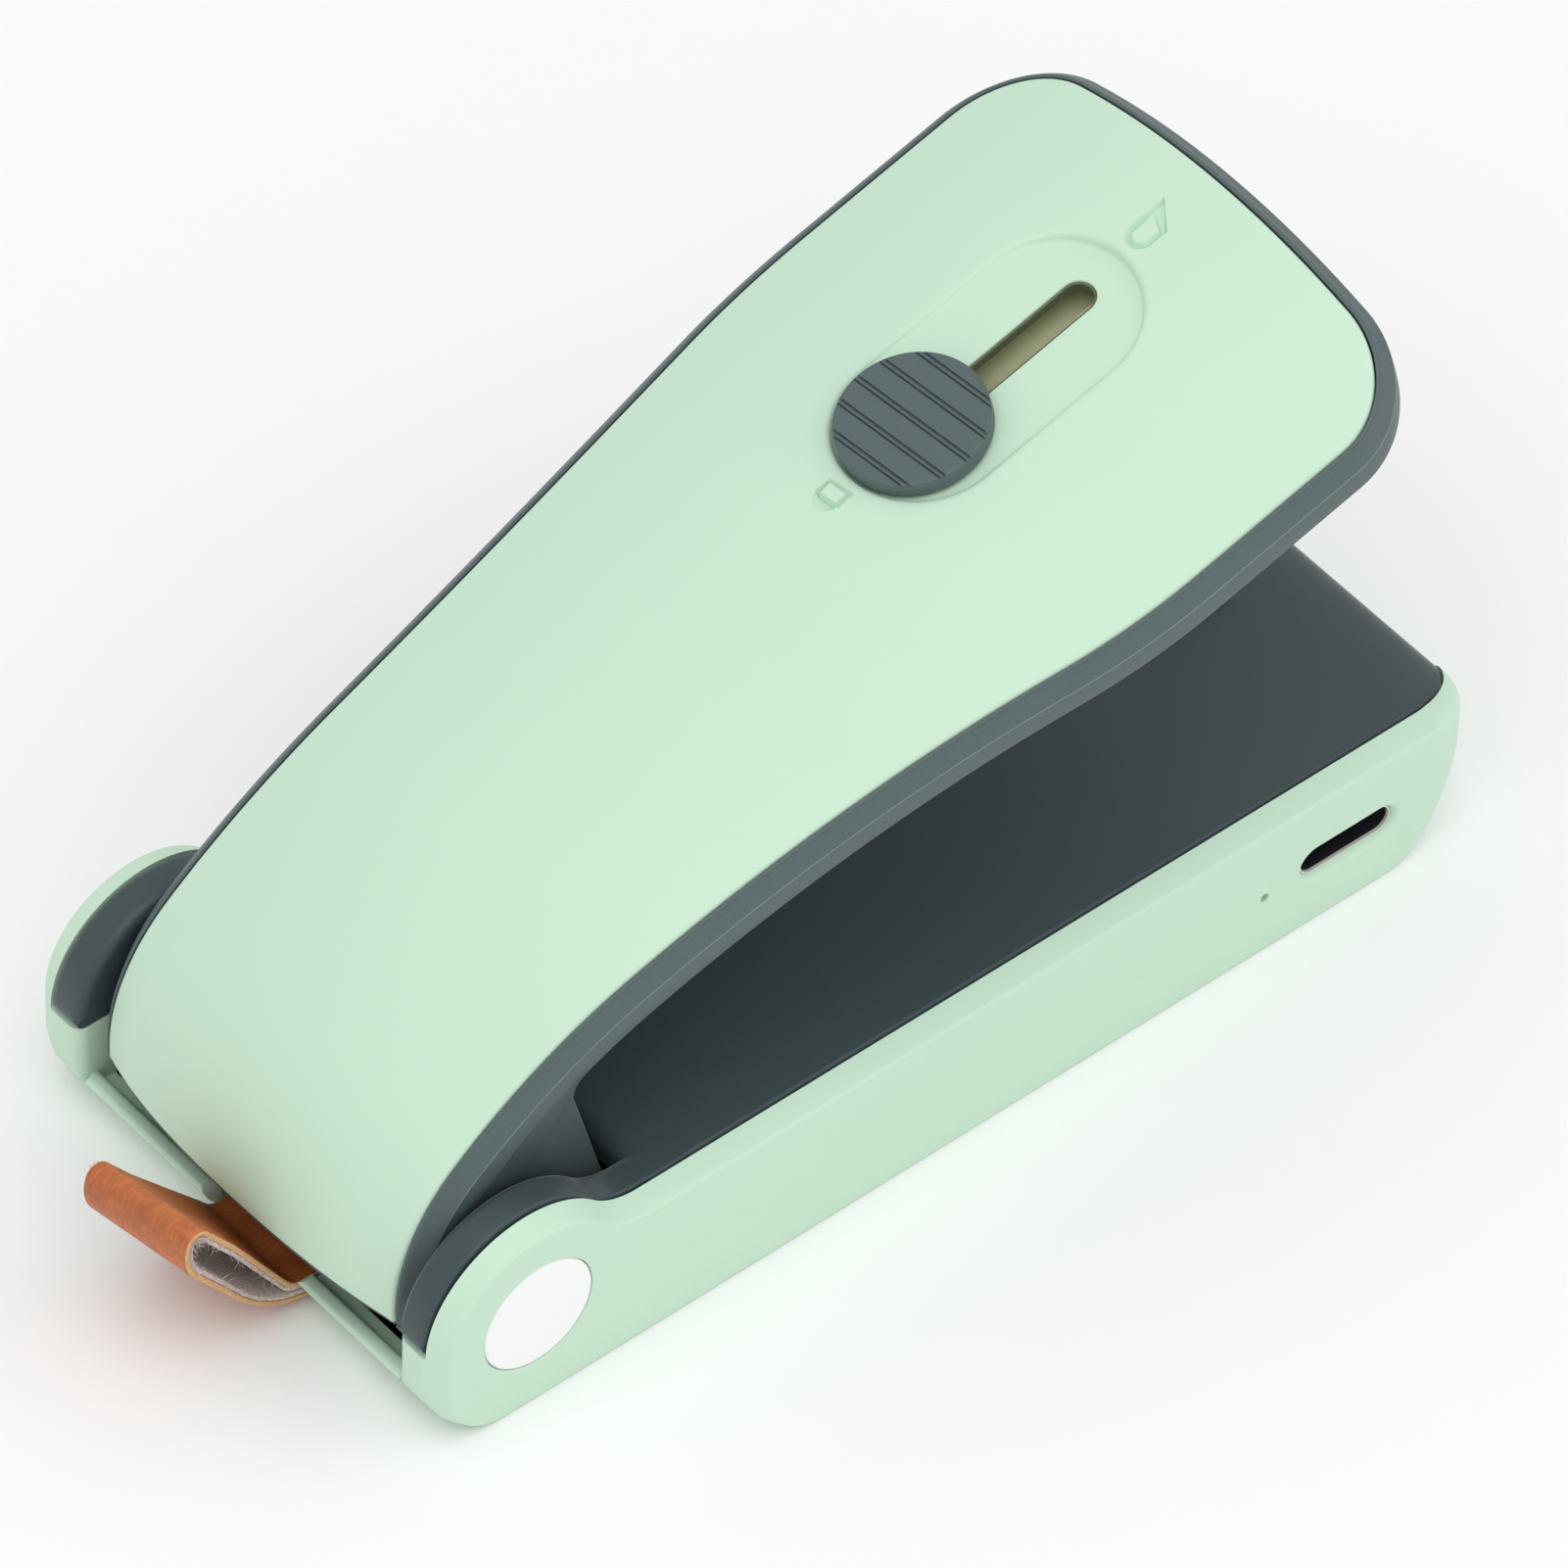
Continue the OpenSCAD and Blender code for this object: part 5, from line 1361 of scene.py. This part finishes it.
def grain_group():
    """Moulded grain: a fine texture with soft mottling. Gives a colour, a roughness and a height."""
    name = "Moulded grain"
    if name in bpy.data.node_groups:
        return bpy.data.node_groups[name]
    tone, number = "NodeSocketColor", "NodeSocketFloat"
    group, given, result = node_group(
        name,
        [("Colour", tone, (0.5, 0.5, 0.5, 1)), ("Mottle", number, 0.03), ("Roughness", number, 0.5),
         ("Rough Spread", number, 0.06), ("Grain Scale", number, 4000), ("Speck", number, 0.0)],
        [("Colour", tone), ("Roughness", number), ("Height", number)])
    links = group.links
    fine = texture(group, "Noise", Detail=3)
    links.new(given.outputs["Grain Scale"], fine.inputs["Scale"])
    broad = texture(group, "Noise", Scale=70, Detail=2)
    mottle = math_node(group, "MULTIPLY_ADD", broad.outputs["Fac"], given.outputs["Mottle"], 1.0)
    centred = math_node(group, "MULTIPLY", given.outputs["Mottle"], -0.5)
    level = math_node(group, "ADD", mottle, centred)
    swing = math_node(group, "SUBTRACT", fine.outputs["Fac"], 0.5)
    level = math_node(group, "ADD", level, math_node(group, "MULTIPLY", swing, given.outputs["Speck"]))
    tint = group.nodes.new("ShaderNodeVectorMath")
    tint.operation = "SCALE"
    links.new(given.outputs["Colour"], tint.inputs[0])
    links.new(level, tint.inputs["Scale"])
    links.new(tint.outputs["Vector"], result.inputs["Colour"])
    spread = math_node(group, "MULTIPLY", swing, given.outputs["Rough Spread"])
    links.new(math_node(group, "ADD", spread, given.outputs["Roughness"]), result.inputs["Roughness"])
    links.new(fine.outputs["Fac"], result.inputs["Height"])
    return group


def math_node(tree, operation, first, second=0.0, third=None):
    """The output of a math node; each input is a socket or a number."""
    node = tree.nodes.new("ShaderNodeMath")
    node.operation = operation
    for i, value in enumerate((first, second, third)):
        if value is None:
            continue
        if isinstance(value, (int, float)):
            node.inputs[i].default_value = value
        else:
            tree.links.new(value, node.inputs[i])
    return node.outputs[0]


def made_once(name, fill):
    """The material of that name; the first time, a function of its tree and its shader adds the nodes."""
    if name in bpy.data.materials:
        return bpy.data.materials[name]
    made = bpy.data.materials.new(name)
    made.use_nodes = True
    fill(made.node_tree, made.node_tree.nodes["Principled BSDF"])
    return made


def bump(tree, shader, height, strength, distance):
    """Feeds a height into the shader's normal."""
    node = tree.nodes.new("ShaderNodeBump")
    set_inputs(node, Strength=strength, Distance=distance)
    tree.links.new(height, node.inputs["Height"])
    tree.links.new(node.outputs["Normal"], shader.inputs["Normal"])


def tone_ramp(tree, shader, level, *stops):
    """Colours the shader by a level, between two stops of position and colour."""
    ramp = tree.nodes.new("ShaderNodeValToRGB")
    for element, (position, tone) in zip(ramp.color_ramp.elements, stops):
        element.position = position
        element.color = (*tone, 1)
    tree.links.new(level, ramp.inputs["Fac"])
    tree.links.new(ramp.outputs["Color"], shader.inputs["Base Color"])


def scaled(tone, gain):
    """A colour times a gain, at most full."""
    return [min(1, v * gain) for v in tone]


def moulded(name, tone, roughness=0.45, grain=3500, height=0.02 * MM, strength=0.25, mottle=0.03, speck=0.0,
            spread=0.08, metallic=0.0, specular=0.5, sheen=0.0):
    """A moulded or plain finish from the grain group."""
    def fill(tree, shader):
        """Adds the group and feeds the shader from it."""
        group = tree.nodes.new("ShaderNodeGroup")
        group.node_tree = grain_group()
        set_inputs(group, Colour=(*tone, 1), Mottle=mottle, Roughness=roughness, Rough_Spread=spread,
                   Grain_Scale=grain, Speck=speck)
        tree.links.new(group.outputs["Colour"], shader.inputs["Base Color"])
        tree.links.new(group.outputs["Roughness"], shader.inputs["Roughness"])
        bump(tree, shader, group.outputs["Height"], strength, height)
        set_inputs(shader, Metallic=metallic, Specular_IOR_Level=specular, Sheen_Weight=sheen, Sheen_Roughness=0.25)

    return made_once(name, fill)


def mint():
    """The mint moulding: satin, with the faintest grain."""
    return moulded("Mint moulding", sizes().finish.mint, roughness=0.52, grain=5200, height=0.01 * MM, strength=0.12,
                   mottle=0.02, speck=0.012, specular=0.35)


def dark():
    """The dark moulding of bezel, knob and arm shell, with a visible spark grain."""
    return moulded("Dark moulding", sizes().finish.dark, roughness=0.5, grain=6200, height=0.04 * MM, strength=0.45,
                   mottle=0.06, speck=0.42, spread=0.2)


def dark_painted_highlight():
    """The dark moulding made lighter, as a painted highlight on the bezel's crisp edge."""
    # painted highlight: the dark colour raised almost twofold
    tone = [v * gain for v, gain in zip(sizes().finish.dark, (1.9, 1.85, 1.7))]
    return moulded("Dark moulding, rubbed", tone, roughness=0.4, grain=3000, height=0.02 * MM, strength=0.2,
                   mottle=0.2, speck=0.3, spread=0.1)


def deck_finish():
    """The deck's smoother dark moulding."""
    return moulded("Deck moulding", sizes().finish.deck, roughness=0.38, grain=5000, height=0.02 * MM, strength=0.2,
                   mottle=0.05, speck=0.12, specular=0.4, sheen=0.6)


def white():
    """The white moulding of the hinge caps."""
    return moulded("White moulding", sizes().finish.white, 0.4, strength=0.1, mottle=0.01)


def beige():
    """The beige moulding of the cutter channel."""
    return moulded("Beige moulding", sizes().finish.beige, 0.55, 3000, mottle=0.08, speck=0.1)


def leather_finish():
    """Leather with a fine pebbled grain, short creases and a slow change of tone."""
    return made_once("Leather", leather_nodes)


def leather_nodes(tree, shader):
    """Adds the leather's nodes."""
    pebble = texture(tree, "Voronoi", Scale=3800)
    pebble.feature = "SMOOTH_F1"
    stretch = tree.nodes.new("ShaderNodeMapping")
    stretch.inputs["Scale"].default_value = (1.0, 3.2, 1.0)
    tree.links.new(tree.nodes.new("ShaderNodeTexCoord").outputs["Object"], stretch.inputs["Vector"])
    fold = texture(tree, "Noise", stretch.outputs["Vector"], Scale=620, Detail=4)
    broad = texture(tree, "Noise", Scale=330, Detail=3)
    # creases are where the stretched noise passes its middle
    offset = math_node(tree, "ABSOLUTE", math_node(tree, "SUBTRACT", fold.outputs["Fac"], 0.5))
    crease = math_node(tree, "MINIMUM", math_node(tree, "MULTIPLY", offset, 9.0), 1.0)
    height = math_node(tree, "MULTIPLY_ADD", pebble.outputs["Distance"], -0.5, crease)
    level = math_node(tree, "MULTIPLY_ADD", crease, 0.22, math_node(tree, "MULTIPLY", broad.outputs["Fac"], 0.9))
    tone = sizes().finish.leather
    tone_ramp(tree, shader, level, (0.35, scaled(tone, 0.7)), (0.85, scaled(tone, 1.15)))
    roughness = math_node(tree, "MULTIPLY_ADD", broad.outputs["Fac"], 0.25, 0.38)
    tree.links.new(roughness, shader.inputs["Roughness"])
    bump(tree, shader, height, 0.45, 0.05 * MM)


def raw_edge():
    """The cut edge of the leather: pale, dry and fibrous."""
    return moulded("Raw leather edge", display(218, 170, 122), 0.9, 2400, height=0.06 * MM, strength=0.6, mottle=0.3,
                   speck=0.5)


def felt_finish():
    """Brushed felt: pale fibres over a darker ground."""
    return made_once("Felt", felt_nodes)


def felt_nodes(tree, shader):
    """Adds the felt's nodes."""
    fibre = texture(tree, "Noise", Scale=3600, Detail=8, Distortion=1.6)
    tone = sizes().finish.felt
    tone_ramp(tree, shader, fibre.outputs["Fac"], (0.3, scaled(tone, 0.5)), (0.72, scaled(tone, 1.2)))
    set_inputs(shader, Roughness=0.95, Sheen_Weight=0.3)
    bump(tree, shader, fibre.outputs["Fac"], 0.9, 0.15 * MM)


def woven_finish():
    """Coated glass cloth: a plain weave under a brown coat."""
    return made_once("Glass cloth", woven_nodes)


def woven_nodes(tree, shader):
    """Adds the glass cloth's nodes."""
    heights = []
    for direction in ("X", "Y"):
        wave = texture(tree, "Wave", Scale=700, Distortion=0.4)
        wave.bands_direction = direction
        heights.append(wave.outputs["Fac"])
    weave = math_node(tree, "MAXIMUM", *heights)
    tone_ramp(tree, shader, weave, (0, display(122, 84, 46)), (1, display(176, 132, 84)))
    set_inputs(shader, Roughness=0.45)
    bump(tree, shader, weave, 0.4, 0.05 * MM)


def board_finish():
    """Green circuit board with copper runs."""
    return made_once("Board", board_nodes)


def board_nodes(tree, shader):
    """Adds the circuit board's nodes."""
    runs = texture(tree, "Brick", Scale=420, Color1=(*display(24, 96, 58), 1), Color2=(*display(30, 108, 66), 1),
                   Mortar=(*display(70, 140, 84), 1))
    tree.links.new(runs.outputs["Color"], shader.inputs["Base Color"])
    set_inputs(shader, Roughness=0.35)
    bump(tree, shader, runs.outputs["Fac"], 0.3, 0.03 * MM)


# Plain finishes of carried-over nodes by slot: name, display colour, roughness and other settings
PLAIN_FINISHES = {
    "steel": ("Steel", (178, 180, 184), 0.32, {"grain": 2600, "strength": 0.1, "metallic": 1.0}),
    "blade_steel": ("Blade steel", (228, 230, 232), 0.25, {"grain": 900, "strength": 0.15, "metallic": 1.0}),
    "bronze": ("Bronze", (178, 132, 80), 0.4, {"grain": 2200, "strength": 0.2, "metallic": 1.0}),
    "element_metal": ("Element", (190, 150, 90), 0.45, {"grain": 1500, "metallic": 1.0}),
    "ceramic": ("Ceramic", (228, 222, 208), 0.6, {"grain": 2600, "mottle": 0.06, "speck": 0.1}),
    "silicone": ("Silicone", (216, 214, 208), 0.6, {"grain": 1800, "mottle": 0.05, "speck": 0.05}),
    "grey_plastic": ("Grey moulding", (96, 100, 102), 0.5, {"grain": 3000, "speck": 0.1}),
    "red_plastic": ("Red moulding", (176, 42, 38), 0.4, {"grain": 3000}),
    "cell_wrap": ("Cell wrap", (178, 186, 196), 0.35, {"grain": 600, "mottle": 0.1}),
    "wire_cover": ("Wire cover", (170, 34, 32), 0.45, {"grain": 2500}),
    "clear_plastic": ("Light guide", (214, 230, 216), 0.3, {"grain": 2500}),
    # The socket's metal painted near-black: painted shade inside the socket
    "socket_metal": ("Socket", (34, 36, 40), 0.45, {"grain": 2600, "metallic": 0.3}),
}
# Finishes with a function of their own, by slot
OWN_FINISHES = {
    "mint_plastic": mint, "dark_plastic": dark, "white_plastic": white, "beige_plastic": beige,
    "leather": leather_finish, "glass_cloth": woven_finish, "board": board_finish,
}


def carried_finish(slot):
    """Material of a carried-over node by its slot in the record."""
    if slot in PLAIN_FINISHES:
        name, tone, roughness, settings = PLAIN_FINISHES[slot]
        return moulded(name, display(*tone), roughness, **settings)
    return OWN_FINISHES[slot]()


# Operators


class BAG_SEALER_OT_stage(bpy.types.Operator):
    """Adds the floor, the light and the camera"""

    bl_idname = "bag_sealer.stage"
    bl_label = "Stage"

    def execute(self, context):
        stage = sizes().stage
        scene = context.scene
        scene.view_settings.view_transform = "Standard"
        half = 3
        corners = [(-half, -half, 0), (half, -half, 0), (half, half, 0), (-half, half, 0)]
        floor = new_object("floor", corners, [(0, 1, 2, 3)])
        floor.data.materials.append(
            moulded("Floor paper", sizes().finish.floor, 0.9, 300, strength=0.05, mottle=0.0, specular=0.1))
        world = bpy.data.worlds.new("Studio")
        world.use_nodes = True
        set_inputs(world.node_tree.nodes["Background"], Strength=stage.world, Color=(1, 1, 1, 1))
        scene.world = world
        self.lamp("key", place=(-0.25, -0.2, 0.9), side=0.9, watts=stage.key)
        self.lamp("fill", place=(0.55, -0.62, 0.65), side=0.8, watts=stage.fill)
        self.camera(scene, stage)
        return {"FINISHED"}

    @staticmethod
    def lamp(name, place, side, watts):
        """A square soft lamp that looks at the object."""
        data = bpy.data.lights.new(name, "AREA")
        data.size = side
        data.energy = watts
        lamp = bpy.data.objects.new(name, data)
        lamp.location = place
        aim = Vector((0, 0, 0.02)) - Vector(place)
        lamp.rotation_euler = aim.to_track_quat("-Z", "Y").to_euler()
        bpy.context.scene.collection.objects.link(lamp)

    @staticmethod
    def camera(scene, stage):
        """The camera at the photograph's viewpoint."""
        t, e = stage.azimuth, stage.elevation
        right = Vector((math.cos(t), -math.sin(t), 0))
        up = Vector((math.sin(t) * math.sin(e), math.cos(t) * math.sin(e), math.cos(e)))
        ahead = Vector((math.sin(t) * math.cos(e), math.cos(t) * math.cos(e), -math.sin(e)))
        c, s = math.cos(stage.roll), math.sin(stage.roll)
        rolled_right = right * c + up * s
        rolled_up = up * c - right * s
        place = rolled_right * stage.aim_right + rolled_up * stage.aim_up - ahead * stage.distance
        data = bpy.data.cameras.new("camera")
        data.sensor_width = SENSOR
        data.lens = SENSOR * stage.focal_px / PHOTO_SIDE
        data.clip_end = 20
        camera = bpy.data.objects.new("camera", data)
        turn = Matrix((rolled_right, rolled_up, -ahead)).transposed()
        camera.matrix_world = Matrix.Translation(place) @ turn.to_4x4()
        scene.collection.objects.link(camera)
        scene.camera = camera


class BAG_SEALER_OT_arm_skin(bpy.types.Operator):
    """Builds the arm's crowned skin with its recess, slot and marks, and the slot's sleeve and shelf"""

    bl_idname = "bag_sealer.arm_skin"
    bl_label = "Arm Skin"

    def execute(self, context):
        dress(build_marks(build_skin()), mint(), "arm", "mint_plastic", "arm_skin")
        finish = sizes().finish
        # The sleeve's colour is painted shade: the channel's beige darkened.
        looks = (("Slot sleeve", finish.sleeve_painted_shade), ("Slot shelf", finish.shelf))
        for piece, (name, tone) in zip(build_slot_liner(), looks):
            dress(piece, moulded(name, tone, 0.6, 3000, mottle=0.08, speck=0.1), "arm", "beige_plastic")
        return {"FINISHED"}


class BAG_SEALER_OT_arm_bezel(bpy.types.Operator):
    """Builds the dark band round the skin, its rear lip, the knuckle's sides and the walls of the nose's corners"""

    bl_idname = "bag_sealer.arm_bezel"
    bl_label = "Arm Bezel"

    def execute(self, context):
        dress(build_bezel(), dark(), "arm", "dark_plastic", "arm_bezel", limit=BEZEL_SMOOTH_ANGLE)
        dress(build_rear_lip(), dark(), "arm", "dark_plastic")
        for side in SIDES:
            # The knuckle's sides take the darker deck moulding: painted shade from the ear and the deck beside them.
            dress(build_knuckle_cheek(side), deck_finish(), "arm", "dark_plastic")
            dress(build_nose_side(side), dark(), "arm", "dark_plastic")
        return {"FINISHED"}


class BAG_SEALER_OT_slider_knob(bpy.types.Operator):
    """Builds the slider's knob"""

    bl_idname = "bag_sealer.slider_knob"
    bl_label = "Slider Knob"

    def execute(self, context):
        dress(build_knob(), dark(), "cutter", "dark_plastic", "slider_knob")
        return {"FINISHED"}


class BAG_SEALER_OT_base(bpy.types.Operator):
    """Builds the base's shell, deck and hinge caps"""

    bl_idname = "bag_sealer.base"
    bl_label = "Base"

    def execute(self, context):
        dress(build_base_shell(), mint(), "base", "mint_plastic", "base_shell")
        dress(build_deck(), deck_finish(), "base", "dark_plastic", "base_cover")
        for side in SIDES:
            dress(build_cap(side), carried_finish("white_plastic"), "base", "white_plastic", "hinge_caps")
        return {"FINISHED"}


class BAG_SEALER_OT_charging(bpy.types.Operator):
    """Builds the charging socket and the light beside it"""

    bl_idname = "bag_sealer.charging"
    bl_label = "Charging Socket"

    def execute(self, context):
        mouth, tongue, liner = build_socket()
        # the mouth's steel ring painted near-white with little metal: a painted reflection
        rim = moulded("Socket rim", display(226, 224, 218), 0.5, 2600, metallic=0.3)
        dress(mouth, rim, "base", "steel", "usb_socket")
        # tongue and lining in the near-black socket finish: painted shade
        for piece in (tongue, liner):
            dress(piece, carried_finish("socket_metal"), "base", "socket_metal", "usb_socket")
        dress(build_light(), carried_finish("clear_plastic"), "base", "clear_plastic", "status_led")
        return {"FINISHED"}


class BAG_SEALER_OT_leather_loop(bpy.types.Operator):
    """Builds the leather loop, its felt lining and the felt's loose fibres"""

    bl_idname = "bag_sealer.leather_loop"
    bl_label = "Leather Loop"

    def execute(self, context):
        leather, felt, fibres = build_loop()
        dress(leather, leather_finish(), "base", "leather", "leather_tab")
        for piece in (felt, fibres):
            dress(piece, felt_finish(), "base", "leather", "leather_tab")
        return {"FINISHED"}


class BAG_SEALER_OT_carried(bpy.types.Operator):
    """Gives every carried-over node its finish, and eases the edges of the boxy ones"""

    bl_idname = "bag_sealer.carried"
    bl_label = "Carried Parts"

    # Boxy nodes whose edges are eased, and by how many millimetres
    EASED = {
        "pad_holder": 0.35, "press_pad": 0.4, "heater_film": 0.1, "heating_element": 0.15, "heater_block": 0.3,
        "battery": 0.8, "tab_clamp": 0.3, "press_switch": 0.2, "cutter_guide": 0.15, "cutter_shuttle": 0.2,
    }

    def execute(self, context):
        slots = {node: m["slot"] for m in frame["record"]["materials"] for node in m.get("nodes", [])}
        for name, node in frame["nodes"].items():
            if node.hide_render:
                continue
            slot = slots.get(name) or node.data.materials[0].name
            finish = carried_finish(slot)
            if name in self.EASED:
                piece = softened_copy(name, self.EASED[name] * MM)
                dress(piece, finish, node["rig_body"], slot, name)
                continue
            node.data.materials.clear()
            node.data.materials.append(finish)
        return {"FINISHED"}


class BAG_SEALER_PT_panel(bpy.types.Panel):
    """Lists the pieces of the bag sealer"""

    bl_idname = "BAG_SEALER_PT_panel"
    bl_label = "Bag Sealer"
    bl_space_type = "VIEW_3D"
    bl_region_type = "UI"
    bl_category = "Bag Sealer"

    def draw(self, context):
        for operator in OPERATORS:
            self.layout.operator(operator.bl_idname)


OPERATORS = (
    BAG_SEALER_OT_stage,
    BAG_SEALER_OT_arm_skin,
    BAG_SEALER_OT_arm_bezel,
    BAG_SEALER_OT_slider_knob,
    BAG_SEALER_OT_base,
    BAG_SEALER_OT_charging,
    BAG_SEALER_OT_leather_loop,
    BAG_SEALER_OT_carried,
)
GROUPS = (ArmSizes, KnobSizes, BaseSizes, LoopSizes, Finishes, StageSizes, BagSealer)


def register():
    """Adds the classes and the scene's sizes."""
    for entry in GROUPS + OPERATORS + (BAG_SEALER_PT_panel,):
        bpy.utils.register_class(entry)
    bpy.types.Scene.bag_sealer = bpy.props.PointerProperty(type=BagSealer)


def unregister():
    """Takes the classes and the scene's sizes away."""
    del bpy.types.Scene.bag_sealer
    for entry in reversed(GROUPS + OPERATORS + (BAG_SEALER_PT_panel,)):
        bpy.utils.unregister_class(entry)


def main():
    """Builds every piece in order."""
    register()
    for operator in OPERATORS:
        group, name = operator.bl_idname.split(".")
        getattr(getattr(bpy.ops, group), name)()


if __name__ == "__main__":
    main()
